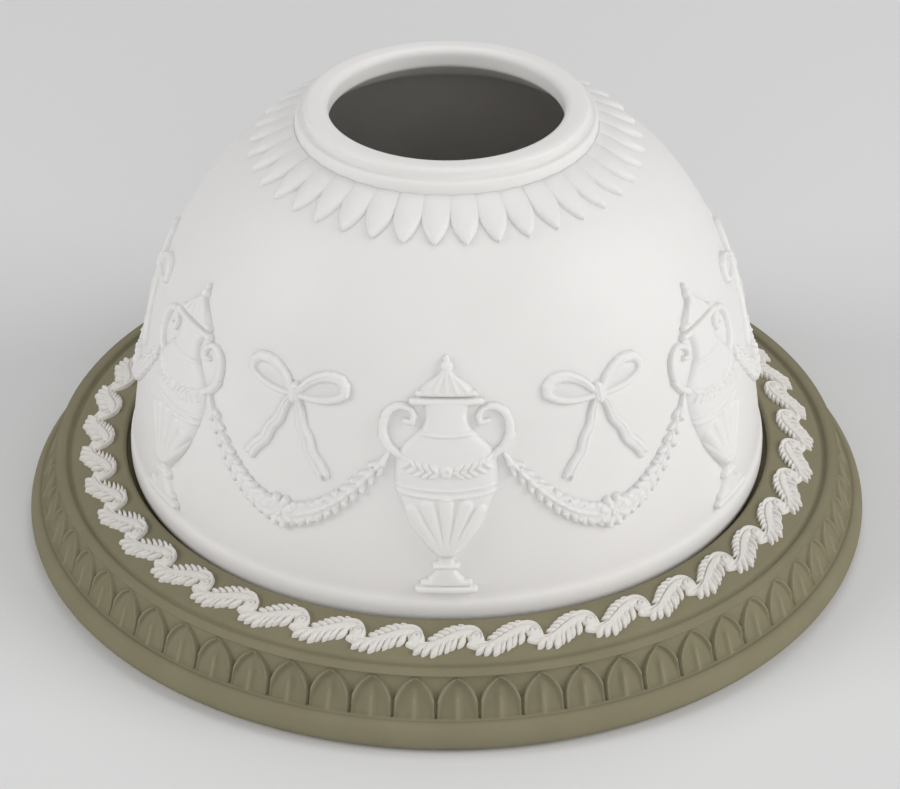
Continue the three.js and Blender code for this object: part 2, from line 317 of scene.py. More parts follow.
@dataclass(frozen=True)
class Wax:
    """Poured candle wax: cream, smooth, a little translucent."""

    name: str
    slot: str
    colour: Colour
    deep: Colour

    def build(self) -> bpy.types.Material:
        """Builds the material.

        Returns:
            The finished material.
        """
        shader = Shader(self.name)
        cloud = shader.ramp(shader.noise(160.0), 0.35, 0.65)
        ripple = shader.noise(260.0, detail=2.0)
        return shader.finish(
            {
                "Base Color": shader.mixed(cloud * 0.6, self.colour, self.deep),
                "Roughness": cloud * 0.12 + 0.32,
                "Normal": shader.bump(ripple, 0.3, 0.15),
                "Subsurface Weight": 0.4,
                "Subsurface Radius": (1.0, 0.8, 0.5),
                "Subsurface Scale": 2.5 * MM,
            }
        )


@dataclass(frozen=True)
class DrawnMetal:
    """Thin drawn or pressed metal with fine draw marks and dulled patches."""

    name: str
    slot: str
    colour: Colour
    dull: Colour
    roughness: float

    def build(self) -> bpy.types.Material:
        """Builds the material.

        Returns:
            The finished material.
        """
        shader = Shader(self.name)
        drawn_out = {"Vector": shader.place, "Scale": (60.0, 60.0, 2400.0)}
        drawn = {"Vector": shader.node("ShaderNodeMapping", {}, drawn_out), "Scale": 1.0, "Detail": 3.0}
        lines = shader.node("ShaderNodeTexNoise", {}, drawn, "Fac")
        patch = shader.ramp(shader.noise(210.0), 0.4, 0.66)
        return shader.finish(
            {
                "Base Color": shader.mixed(patch * 0.5, self.colour, self.dull),
                "Metallic": 1.0,
                "Roughness": patch * 0.16 + lines * 0.1 + self.roughness,
                "Normal": shader.bump(lines, 0.25, 0.04),
            }
        )


@dataclass(frozen=True)
class WaxedCotton:
    """Braided cotton stiffened with wax."""

    name: str
    slot: str
    colour: Colour
    deep: Colour

    def build(self) -> bpy.types.Material:
        """Builds the material.

        Returns:
            The finished material.
        """
        shader = Shader(self.name)
        braid = {"Vector": shader.place, "Scale": 700.0, "Distortion": 2.0, "Detail": 2.0}
        strand = shader.node("ShaderNodeTexWave", {"bands_direction": "DIAGONAL"}, braid, "Fac")
        return shader.finish(
            {
                "Base Color": shader.mixed(strand, self.colour, self.deep),
                "Roughness": strand * 0.2 + 0.6,
                "Normal": shader.bump(strand, 0.6, 0.12),
            }
        )


WHITE_BISQUE = Bisque(
    "unglazed_bisque",
    "white_bisque",
    colour=(0.84, 0.825, 0.81, 1),
    shade=(0.79, 0.775, 0.76, 1),
    roughness=0.5,
    grain_mm=0.03,
    glow=0.3,
)
WHITE_SPRIG = Bisque(
    "unglazed_sprig",
    "white_sprig",
    colour=(0.79, 0.765, 0.73, 1),
    shade=(0.70, 0.672, 0.63, 1),
    roughness=0.72,
    grain_mm=0.07,
    glow=0.05,
)
SAGE_STONEWARE = Stoneware(
    "unglazed_sage",
    "sage_stoneware",
    colour=(0.242, 0.220, 0.141, 1),
    pale=(0.315, 0.292, 0.198, 1),
    dark=(0.207, 0.188, 0.118, 1),
    roughness=0.85,
)
CANDLE_WAX = Wax(
    "poured_cream_wax", "candle_wax", colour=(0.83, 0.79, 0.67, 1), deep=(0.77, 0.72, 0.58, 1)
)
CUP_METAL = DrawnMetal(
    "drawn_foil", "cup_metal", colour=(0.76, 0.77, 0.78, 1), dull=(0.6, 0.61, 0.62, 1), roughness=0.24
)
CLIP_METAL = DrawnMetal(
    "pressed_tin", "clip_metal", colour=(0.6, 0.6, 0.6, 1), dull=(0.45, 0.45, 0.46, 1), roughness=0.34
)
WICK_COTTON = WaxedCotton(
    "waxed_braid", "wick_cotton", colour=(0.8, 0.76, 0.64, 1), deep=(0.58, 0.53, 0.42, 1)
)

Finish = Bisque | Stoneware | Wax | DrawnMetal | WaxedCotton


# Mesh helpers


def mesh_object(name: str, points_mm: np.ndarray, quads: np.ndarray) -> bpy.types.Object:
    """Makes a smooth-shaded mesh object from quads.

    Args:
        name: The object's name.
        points_mm: Its vertices, in millimetres.
        quads: Four vertex numbers for each face.

    Returns:
        The linked object.
    """
    mesh = bpy.data.meshes.new(name)
    mesh.vertices.add(len(points_mm))
    mesh.vertices.foreach_set("co", (points_mm * MM).astype(np.float32).ravel())
    mesh.loops.add(quads.size)
    mesh.loops.foreach_set("vertex_index", quads.astype(np.int32).ravel())
    mesh.polygons.add(len(quads))
    mesh.polygons.foreach_set("loop_start", np.arange(0, quads.size, 4, dtype=np.int32))
    mesh.polygons.foreach_set("use_smooth", np.ones(len(quads), dtype=bool))
    mesh.update(calc_edges=True)
    mesh.validate()
    made = bpy.data.objects.new(name, mesh)
    bpy.context.scene.collection.objects.link(made)
    return made


def finish_piece(piece: bpy.types.Object, finish: Finish, body: Body, node: str) -> bpy.types.Object:
    """Gives a piece its material and body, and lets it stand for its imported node.

    Args:
        piece: The piece.
        finish: Its finish.
        body: The body that it rides on.
        node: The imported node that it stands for.

    Returns:
        The piece.
    """
    material = bpy.data.materials.get(finish.name) or finish.build()
    piece.data.materials.append(material)
    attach(piece, body.value)
    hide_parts(node)
    return piece


def rounded(corners: list[tuple[float, float, float]], steps: int = 5) -> np.ndarray:
    """Rounds the corners of an outline.

    Args:
        corners: Each corner's radius from the axis, its height and its rounding.
        steps: Points along each rounded corner, less one.

    Returns:
        The outline's points, in order.
    """
    points = []
    for i, (r, z, rounding) in enumerate(corners):
        here = np.array([r, z])
        if rounding == 0 or i in (0, len(corners) - 1):
            points.append(here)
            continue
        before = np.array(corners[i - 1][:2]) - here
        after = np.array(corners[i + 1][:2]) - here
        back, ahead = np.linalg.norm(before), np.linalg.norm(after)
        start = here + before / back * min(rounding, back / 2)
        end = here + after / ahead * min(rounding, ahead / 2)
        for t in np.linspace(0, 1, steps + 1):
            points.append((1 - t) ** 2 * start + 2 * t * (1 - t) * here + t**2 * end)
    return np.array(points)


def resampled(outline: np.ndarray, spacing: float) -> np.ndarray:
    """Adds points along an outline's long stretches.

    Args:
        outline: The outline's points.
        spacing: The longest step that stays, in millimetres.

    Returns:
        The finer outline.
    """
    finer = [outline[:1]]
    for start, end in zip(outline[:-1], outline[1:]):
        count = max(1, math.ceil(np.linalg.norm(end - start) / spacing))
        finer.append(start + (end - start) * (np.arange(1, count + 1) / count)[:, None])
    return np.concatenate(finer)


def grid_quads(rows: int, columns: int, around: bool) -> np.ndarray:
    """Numbers the faces of a grid of points.

    Args:
        rows: Rows of points.
        columns: Columns of points.
        around: Whether the last column joins the first.

    Returns:
        Four vertex numbers for each face.
    """
    across = columns if around else columns - 1
    i, j = np.meshgrid(np.arange(rows - 1), np.arange(across), indexing="ij")
    here, above, ahead = i * columns, (i + 1) * columns, (j + 1) % columns
    corners = (here + j, here + ahead, above + ahead, above + j)
    return np.stack([corner.ravel() for corner in corners], axis=1)


def around_axis(radius: np.ndarray, angle: np.ndarray, height: np.ndarray) -> np.ndarray:
    """Places points round the axis. Angles are in degrees from the front, to the right.

    Args:
        radius: Distances from the axis, in millimetres.
        angle: Angles, in degrees.
        height: Heights, in millimetres.

    Returns:
        The points, with a last axis of three.
    """
    turn = np.radians(angle)
    radius, turn, height = np.broadcast_arrays(radius, turn, height)
    return np.stack([radius * np.sin(turn), -radius * np.cos(turn), height], axis=-1)


def ring_angles(columns: int) -> np.ndarray:
    """Gives the angles of the points in one ring, in degrees."""
    return np.arange(columns) * FULL_TURN / columns


def ringed_object(name: str, radius: np.ndarray, height: np.ndarray) -> bpy.types.Object:
    """Makes an object from rings of points round the axis. Its rings aren't welded yet.

    Args:
        name: The object's name.
        radius: Each point's distance from the axis, one row for each ring.
        height: Each point's height, or each ring's.

    Returns:
        The object.
    """
    rows, columns = radius.shape
    points = around_axis(radius, ring_angles(columns), height)
    return mesh_object(name, points.reshape(-1, 3), grid_quads(rows, columns, True))


def turned_object(name: str, outline: np.ndarray, columns: int, closed: bool = False) -> bpy.types.Object:
    """Turns an outline round the axis.

    Args:
        name: The object's name.
        outline: Its [radius, height] points. Points on the axis close it.
        columns: Faces round the axis.
        closed: Whether the outline's last point joins its first.

    Returns:
        The object.
    """
    if closed:
        outline = np.concatenate([outline, outline[:1]])
    made = ringed_object(name, np.repeat(outline[:, :1], columns, 1), outline[:, 1:])
    weld(made)
    return made


def weld(piece: bpy.types.Object, distance_mm: float = 0.002) -> None:
    """Joins vertices that lie on each other and turns all faces out.

    Args:
        piece: The object to clean.
        distance_mm: How close two joined vertices are.
    """
    cleaner = bmesh.new()
    cleaner.from_mesh(piece.data)
    bmesh.ops.remove_doubles(cleaner, verts=cleaner.verts, dist=distance_mm * MM)
    bmesh.ops.recalc_face_normals(cleaner, faces=cleaner.faces)
    cleaner.to_mesh(piece.data)
    cleaner.free()
    piece.data.polygons.foreach_set("use_smooth", np.ones(len(piece.data.polygons), dtype=bool))


# Relief carving


@dataclass
class Stroke:
    """One modelled mark: a line with a half width and a rise at each of its points, in millimetres."""

    line: list[Spot]
    half: list[float]
    rise: list[float]
    crown: float = 2.0

    def smooth(self, steps: int = 14) -> tuple[np.ndarray, np.ndarray, np.ndarray]:
        """Gives the line as a smooth curve with its half widths and rises.

        Args:
            steps: The curve's number of steps.

        Returns:
            The points, half widths and rises.
        """
        line = np.array(self.line, float)
        if len(line) == 1:
            return line, np.array(self.half, float), np.array(self.rise, float)
        knots = np.concatenate([[0], np.cumsum(np.linalg.norm(np.diff(line, axis=0), axis=1))])
        at = np.linspace(0, knots[-1], steps + 1)
        columns = [smooth_curve(knots, column, at) for column in line.T]
        return np.stack(columns, 1), np.interp(at, knots, self.half), np.interp(at, knots, self.rise)


def smooth_curve(knots: np.ndarray, values: np.ndarray, at: np.ndarray) -> np.ndarray:
    """Passes a smooth curve through values at knots.

    Args:
        knots: Rising places.
        values: The value at each.
        at: Where the curve is wanted.

    Returns:
        The curve's values.
    """
    if len(knots) > 2:
        slopes = np.gradient(values, knots)
    else:
        slopes = np.full(2, np.diff(values)[0] / np.diff(knots)[0])
    i = np.clip(np.searchsorted(knots, at, side="right") - 1, 0, len(knots) - 2)
    step = knots[i + 1] - knots[i]
    t = (at - knots[i]) / step
    start = (2 * t**3 - 3 * t**2 + 1) * values[i] + (t**3 - 2 * t**2 + t) * step * slopes[i]
    return start + (-2 * t**3 + 3 * t**2) * values[i + 1] + (t**3 - t**2) * step * slopes[i + 1]


def placing(surface: Place, start: float, per_degree: float, base: float = 0.0) -> Place:
    """Gives the placing of a chart that starts at an angle of a round surface.

    Args:
        surface: Places points from an angle, a distance along the surface and a lift.
        start: The angle of the chart's zero, in degrees.
        per_degree: Millimetres across the chart for each degree.
        base: The distance along the surface of the chart's zero.

    Returns:
        The placing.
    """
    return lambda across, up, lift: surface(start + across / per_degree, base + up, lift)


class ReliefChart:
    """A sheet of heights that reliefs are modelled on, then laid on a round surface.

    Heights under SUNK are left out, BARE is the height of an empty chart, and a relief's back lies at
    BACK. A stroke is worked out as far as SKIRT times its half width.
    """

    SUNK = -0.14
    BACK = -0.22
    BARE = 4 * SUNK
    SKIRT = 1.4

    def __init__(self, low: tuple[float, float], high: tuple[float, float], cell: float) -> None:
        """Makes a bare chart.

        Args:
            low: Its lowest corner, across and up, in millimetres.
            high: Its highest corner.
            cell: The size of its cells.
        """
        self.across = np.arange(low[0], high[0] + cell, cell)
        self.up = np.arange(low[1], high[1] + cell, cell)
        self.height = np.full((len(self.up), len(self.across)), self.BARE)

    def _window(self, line: np.ndarray, reach: float) -> tuple[slice, slice]:
        """Finds the cells near a line.

        Args:
            line: The line's points.
            reach: How far from it the window goes.

        Returns:
            The window's rows and columns.
        """
        low = line.min(axis=0) - reach
        high = line.max(axis=0) + reach
        columns = np.searchsorted(self.across, (low[0], high[0]))
        rows = np.searchsorted(self.up, (low[1], high[1]))
        return slice(rows[0], rows[1] + 1), slice(columns[0], columns[1] + 1)

    def _crest(self, stroke: Stroke) -> tuple[tuple[slice, slice], np.ndarray]:
        """Works out a stroke's heights near its line.

        Args:
            stroke: The stroke.

        Returns:
            The window of cells and the stroke's height in each.
        """
        line, half, rise = stroke.smooth()
        window = self._window(line, half.max() * self.SKIRT)
        x, y = np.meshgrid(self.across[window[1]], self.up[window[0]])
        best = np.full(x.shape, self.BARE)
        if len(line) == 1:
            share = 1 - ((x - line[0, 0]) ** 2 + (y - line[0, 1]) ** 2) / half[0] ** 2
            return window, rise[0] * np.tanh(stroke.crown * share)
        for i in range(len(line) - 1):
            along = line[i + 1] - line[i]
            length = max(along @ along, 1e-9)
            t = np.clip(((x - line[i, 0]) * along[0] + (y - line[i, 1]) * along[1]) / length, 0, 1)
            off = (x - line[i, 0] - t * along[0]) ** 2 + (y - line[i, 1] - t * along[1]) ** 2
            wide = half[i] + t * (half[i + 1] - half[i])
            tall = rise[i] + t * (rise[i + 1] - rise[i])
            np.maximum(best, tall * np.tanh(stroke.crown * (1 - off / wide**2)), out=best)
        return window, best

    def lay(self, *strokes: Stroke) -> None:
        """Lays strokes on the chart. Where they cross, the higher one shows.

        Args:
            strokes: The strokes.
        """
        for stroke in strokes:
            window, crest = self._crest(stroke)
            self.height[window] = np.maximum(self.height[window], crest)

    def pile(self, *strokes: Stroke) -> None:
        """Piles strokes on top of what is there, inside its outline.

        Args:
            strokes: The strokes.
        """
        for stroke in strokes:
            window, crest = self._crest(stroke)
            there = self.height[window]
            self.height[window] = np.where(there > 0, there + np.maximum(crest, 0), there)

    def carve(self, *strokes: Stroke) -> None:
        """Carves strokes out of what is there.

        Args:
            strokes: The strokes.
        """
        for stroke in strokes:
            window, crest = self._crest(stroke)
            self.height[window] -= np.maximum(crest, 0)

    def lay_turned(self, profile: list[tuple[float, float]], rise: float, crown: float = 2.2) -> None:
        """Lays a form that swells to both sides of the chart's upright line, as a turned vase does.

        Args:
            profile: Heights and half widths, from the bottom up.
            rise: How high it stands.
            crown: How steep its sides are.
        """
        thinnest = 1e-3
        heights, halves = np.array(profile, float).T
        inside = (self.up >= heights[0]) & (self.up <= heights[-1])
        half = np.full(len(self.up), thinnest)
        half[inside] = np.maximum(smooth_curve(heights, halves, self.up[inside]), thinnest)
        share = 1 - (self.across[None, :] / half[:, None]) ** 2
        form = rise * np.tanh(crown * share)
        form[~inside] = self.BARE
        self.height = np.maximum(self.height, form)

    def solid(self, name: str, place: Place) -> bpy.types.Object:
        """Makes a closed thin relief from the chart.

        Args:
            name: The object's name.
            place: Gives points on the round surface from across, up and lift.

        Returns:
            The object. Its back lies just under the surface.
        """
        shown = self.height > self.SUNK
        cells = shown[:-1, :-1] | shown[1:, :-1] | shown[:-1, 1:] | shown[1:, 1:]
        cells = without_pinches(cells)
        rows, columns = self.height.shape
        used = np.zeros((rows, columns), bool)
        for down in (0, 1):
            for right in (0, 1):
                used[down : rows - 1 + down, right : columns - 1 + right] |= cells
        number = np.full((rows, columns), -1)
        number[used] = np.arange(used.sum())
        i, j = np.nonzero(used)
        lift = np.maximum(self.height[used], self.SUNK)
        front = place(self.across[j], self.up[i], lift)
        back = place(self.across[j], self.up[i], np.full(len(i), self.BACK))
        quads = self._faces(cells, number, len(i))
        return mesh_object(name, np.concatenate([front, back]), quads)

    @staticmethod
    def _faces(cells: np.ndarray, number: np.ndarray, count: int) -> np.ndarray:
        """Numbers the front, back and edge faces.

        Args:
            cells: The cells that are kept.
            number: Each grid point's vertex number.
            count: The number of front vertices.

        Returns:
            Four vertex numbers for each face.
        """
        i, j = np.nonzero(cells)
        corner = (number[i, j], number[i, j + 1], number[i + 1, j + 1], number[i + 1, j])
        front = np.stack(corner, axis=1)
        faces = [front, front[:, ::-1] + count]
        padded = np.pad(cells, 1)
        sides = {(-1, 0): (0, 1), (0, 1): (1, 2), (1, 0): (2, 3), (0, -1): (3, 0)}
        for (down, right), (first, second) in sides.items():
            bare = ~padded[i + 1 + down, j + 1 + right]
            a, b = corner[first][bare], corner[second][bare]
            faces.append(np.stack([b, a, a + count, b + count], axis=1))
        return np.concatenate(faces)


def without_pinches(cells: np.ndarray, passes: int = 4) -> np.ndarray:
    """Fills cells that meet only at a corner, so that edges stay clean.

    Args:
        cells: The cells that are kept.
        passes: The most times that it goes over them.

    Returns:
        The cells with the pinches filled.
    """
    cells = cells.copy()
    for _ in range(passes):
        a, b, c, d = cells[:-1, :-1], cells[:-1, 1:], cells[1:, :-1], cells[1:, 1:]
        falling = a & d & ~b & ~c
        rising = b & c & ~a & ~d
        if not (falling.any() or rising.any()):
            break
        cells[:-1, 1:] |= falling
        cells[:-1, :-1] |= rising
    return cells


def between(root: Spot, tip: Spot, share: float) -> Spot:
    """Gives the point at a share of the way from a leaf's root to its tip."""
    return root[0] + (tip[0] - root[0]) * share, root[1] + (tip[1] - root[1]) * share


def mirrored(side: int, *points: Spot) -> list[Spot]:
    """Gives points of the right side for a side of 1, and their mirror images for -1."""
    return [(side * x, y) for x, y in points]


def pearl(spot: Spot, half: float, rise: float, crown: float = 1.6) -> Stroke:
    """Makes a round boss."""
    return Stroke([spot], [half], [rise], crown)


def bar(reach: float, height: float, half: float, rise: float, crown: float) -> Stroke:
    """Makes a level bar across the chart's upright line."""
    return Stroke([(-reach, height), (reach, height)], [half] * 2, [rise] * 2, crown)


def hoop(reach: float, height: float, sag: float, half: float, rise: float) -> Stroke:
    """Makes a band that runs round a turned form and dips in its middle."""
    return Stroke([(-reach, height), (0, height - sag), (reach, height)], [half] * 3, [rise] * 3, 1.8)


def leaf(
    root: Spot,
    tip: Spot,
    half: float,
    rise: float,
    bend: float = 0.0,
    shape: tuple[float, ...] = LEAF_HALVES,
) -> Stroke:
    """Makes a pointed leaf.

    Args:
        root: Where it starts.
        tip: Where it ends.
        half: Its largest half width.
        rise: How high it stands.
        bend: How far its middle swings to the left of the line from root to tip.
        shape: Its half widths from root to tip, as shares of the largest.

    Returns:
        The leaf's stroke.
    """
    start, end = np.array(root, float), np.array(tip, float)
    along = end - start
    aside = np.array([-along[1], along[0]]) / max(np.linalg.norm(along), 1e-6)
    points = [start + along * t + aside * bend * 4 * t * (1 - t) for t in LEAF_STATIONS]
    halves = [half * share for share in shape]
    return Stroke(points, halves, [rise * share for share in LEAF_RISES], 1.6)


# Plate


def fading(up: float, top: float, run: float) -> float:
    """Gives 1 well under a height, which falls to 0 at it over a run."""
    return min(max((top - up) / run, 0.0), 1.0)


@dataclass(frozen=True)
class BandLeaf:
    """One carved leaf of the plate's band.

    Depths are in millimetres. Places across are shares of half the leaf's pitch, and places up are
    shares of the band's height.
    """

    spring: float = 0.12
    tip: float = 0.955
    fullness: float = 0.85
    past_tip: float = -0.2
    gap_depth: float = 1.5
    gap_slope: float = 0.05
    gap_loss: float = 0.6
    rim_width: float = 0.08
    rim_slope: float = 0.09
    hollow_depth: float = 0.5
    hollow_growth: float = 0.3
    rib_half: float = 0.19
    rib_height: float = 0.9
    rib_top: float = 0.8
    rib_fade: float = 0.35
    crease_depth: float = 1.2
    crease_half: float = 0.07
    crease_top: float = 0.6
    crease_fade: float = 0.25

    def edge(self, up: float, half: float, length: float) -> float:
        """Gives the place of the leaf's pointed edge.

        Args:
            up: The share of the band's height.
            half: Half the leaf's pitch, in millimetres.
            length: The band's length up its slope, in millimetres.

        Returns:
            The edge's place across.
        """
        reach = (self.tip - self.spring) * length
        climb = max(up - self.spring, 0.0) * length
        if climb >= reach:
            return self.past_tip
        arch = (reach**2 + half**2) / (2 * half)
        return ((math.sqrt(arch**2 - climb**2) - (arch - half)) / half) ** self.fullness

    def depth(self, across: np.ndarray, up: float, half: float, length: float) -> np.ndarray:
        """Gives how far the band is sunk.

        Args:
            across: Places across the leaf, from -1 to 1.
            up: The share of the band's height.
            half: Half the leaf's pitch, in millimetres.
            length: The band's length up its slope, in millimetres.

        Returns:
            Depths in millimetres, 0 on the leaf's rim.
        """
        off = np.abs(across)
        inside = self.edge(up, half, length) - off
        gap = self.gap_depth * np.clip(-inside / self.gap_slope, 0, 1) * (1.0 - self.gap_loss * up)
        bed = np.clip((inside - self.rim_width) / self.rim_slope, 0, 1)
        bed = bed**2 * (3 - 2 * bed)
        rib = np.exp(-((off / self.rib_half) ** 2)) * fading(up, self.rib_top, self.rib_fade)
        hollow = (self.hollow_depth + self.hollow_growth * up) * bed * (1 - self.rib_height * rib)
        crease = self.crease_depth * np.exp(-(((1 - off) / self.crease_half) ** 2))
        return np.maximum(np.maximum(gap, hollow), crease * fading(up, self.crease_top, self.crease_fade))


@dataclass
class Plate:
    """The sage plate: foot roll, band of leaves, ridge, groove, flat, seat and well, in millimetres."""

    roll_height: float = 5.2
    roll_depth: float = 2.35
    roll_belly: float = 2.2
    band_run: float = 2.55
    band_height: float = 6.9
    leaf_count: int = 64
    leaf_turn: float = 1.45
    band_leaf: BandLeaf = BandLeaf()
    ridge_width: float = 2.8
    ridge_rise: float = 0.2
    groove_width: float = 1.5
    groove_depth: float = 0.6
    flat_width: float = 8.95
    flat_fall: float = 2.1
    seat_depth: float = 2.6
    seat_edge: float = 0.5
    ledge_width: float = 5.5
    well_depth: float = 4.4
    under_depth: float = 3.0
    foot_width: float = 14.0
    ring_wall: float = 2.4
    ring_height: float = 2.4
    ring_gap: float = 0.6
    columns_per_leaf: int = 36
    band_rows: int = 44
    # Depth in millimetres over which the painted highlight on the band's rims fades out.
    crest_fade: float = 0.25
    roll_tuck: float = 1.7
    crease_gap: float = 0.3
    under_step: float = 4.0
    top_step: float = 2.5
    rim: float = field(init=False)
    flat_outer: float = field(init=False)
    flat_inner: float = field(init=False)
    flat_top: float = field(init=False)
    ridge_z: float = field(init=False)

    def __post_init__(self) -> None:
        """Works out the plate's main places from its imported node."""
        self.rim = box_mm("base_plate")[1].x
        groove = self.rim - self.roll_depth - self.band_run - self.ridge_width
        self.flat_outer = groove - self.groove_width / 2
        self.flat_inner = self.flat_outer - self.flat_width
        self.ridge_z = self.roll_height + self.band_height + self.ridge_rise
        self.flat_top = self.ridge_z + self.flat_fall

    def surface(self, angle: np.ndarray, inward: np.ndarray, lift: np.ndarray) -> np.ndarray:
        """Places points on the flat.

        Args:
            angle: Angles, in degrees.
            inward: Distances in from the groove.
            lift: Heights over the flat.

        Returns:
            The points, in millimetres.
        """
        height = self.ridge_z + self.flat_fall * inward / self.flat_width + lift
        return around_axis(self.flat_outer - inward, angle, height)

    def underside(self) -> np.ndarray:
        """Draws the hollow underneath and the foot that the plate stands on.

        Returns:
            The [radius, height] points, from the middle out.
        """
        foot = self.rim - self.roll_belly * 0.9
        corners = [
            (0, self.under_depth, 0),
            (foot - self.foot_width - self.under_depth, self.under_depth, 1.5),
            (foot - self.foot_width, 0, 0.5),
            (foot, 0, 0.4),
            (foot + 0.2, 0.05, 0),
        ]
        return resampled(rounded(corners), self.under_step)

    def roll(self) -> np.ndarray:
        """Draws the foot roll and the crease over it.

        Returns:
            The [radius, height] points, from the bottom up.
        """
        band_foot = self.rim - self.roll_depth
        turn = np.radians(np.linspace(-75, 0, 7))
        radius = self.rim - self.roll_tuck * (1 - np.cos(turn))
        lower = np.stack([radius, self.roll_belly * (1 + np.sin(turn) * 0.97)], 1)
        turn = np.radians(np.linspace(8, 78, 12))
        radius = band_foot + self.crease_gap + (self.roll_depth - self.crease_gap) * np.cos(turn)
        upper = np.stack([radius, self.roll_belly + (self.roll_height - self.roll_belly) * np.sin(turn)], 1)
        crease = [
            (band_foot + self.crease_gap + 0.25, self.roll_height - 0.05, 0),
            (band_foot + 0.15, self.roll_height - 0.12, 0.2),
            (band_foot + 0.02, self.roll_height + 0.02, 0),
        ]
        return np.concatenate([lower, upper, rounded(crease)])

    def top(self, band_top: float) -> np.ndarray:
        """Draws the ridge, groove, flat, seat and well.

        Args:
            band_top: The radius where the band of leaves ends.

        Returns:
            The [radius, height] points, from the band in to the middle.
        """
        groove = band_top - self.ridge_width
        ridge_z, top_z = self.ridge_z, self.flat_top
        seat_z = top_z - self.seat_depth
        well_z = seat_z - self.well_depth
        ring_z = well_z + self.ring_height
        seat = self.flat_inner - self.seat_edge
        ledge = seat - self.ledge_width
        cup = box_mm("tealight_cup")[1].x + self.ring_gap
        outer_ring = cup + self.ring_wall
        corners = [
            (band_top - 0.05, self.roll_height + self.band_height + 0.02, 0),
            (band_top - 0.5, ridge_z - 0.15, 0.3),
            (band_top - 1.3, ridge_z + 0.15, 0.7),
            (groove + 0.7, ridge_z + 0.1, 0.6),
            (groove + 0.3, ridge_z - self.groove_depth * 0.9, 0.35),
            (groove - 0.2, ridge_z - self.groove_depth, 0.3),
            (self.flat_outer + 0.1, ridge_z - 0.02, 0.5),
            (self.flat_inner, top_z, 0.5),
            (seat, top_z - self.seat_edge, 0.5),
            (seat, seat_z, 0.5),
            (ledge, seat_z, 0.8),
            (ledge - self.well_depth / 2, well_z, 1.2),
            (outer_ring, well_z, 0.6),
            (outer_ring - 0.4, ring_z, 0.7),
            (cup + 0.4, ring_z, 0.7),
            (cup, well_z, 0.5),
            (0, well_z, 0),
        ]
        return resampled(rounded(corners), self.top_step)

    def outline(self) -> tuple[np.ndarray, np.ndarray]:
        """Draws the plate's outline from the middle underneath, round the rim, to the middle on top.

        Returns:
            The [radius, height] points, and each point's share of the leaf band or -1.
        """
        band_foot = self.rim - self.roll_depth
        shares = np.linspace(0.02, 1.0, self.band_rows)
        radius = band_foot - self.band_run * shares
        band = np.stack([radius, self.roll_height + self.band_height * shares], 1)
        below = np.concatenate([self.underside(), self.roll()])
        above = self.top(band_foot - self.band_run)
        marks = [np.full(len(below), -1.0), shares, np.full(len(above), -1.0)]
        return np.concatenate([below, band, above]), np.concatenate(marks)

    def build(self) -> bpy.types.Object:
        """Builds the plate with its carved band of leaves.

        Returns:
            The finished plate.
        """
        outline, marks = self.outline()
        columns = self.leaf_count * self.columns_per_leaf
        radius, height = (np.repeat(side[:, None], columns, 1) for side in outline.T)
        pitch = FULL_TURN / self.leaf_count
        across = 2 * (((ring_angles(columns) - self.leaf_turn) / pitch + 0.5) % 1.0 - 0.5)
        half = math.pi * (self.rim - self.roll_depth) / self.leaf_count
        length = math.hypot(self.band_height, self.band_run)
        slope = np.array([self.band_height, self.band_run]) / length
        # Painted highlight: 1 on the band's leaf rims, falling to 0 as the band sinks, so its hollows stay
        # darker in colour.
        crest = np.zeros(radius.shape, np.float32)
        for row in np.nonzero(marks >= 0)[0]:
            sunk = self.band_leaf.depth(across, marks[row], half, length)
            radius[row] -= slope[0] * sunk
            height[row] -= slope[1] * sunk
            crest[row] = np.clip(1.0 - sunk / self.crest_fade, 0.0, 1.0)
        plate = ringed_object("plate_body", radius, height)
        plate.data.attributes.new(PAINTED_CREST_LIGHT, "FLOAT", "POINT").data.foreach_set("value", crest.ravel())
        weld(plate)
        return finish_piece(plate, SAGE_STONEWARE, Body.PLATE, "base_plate")


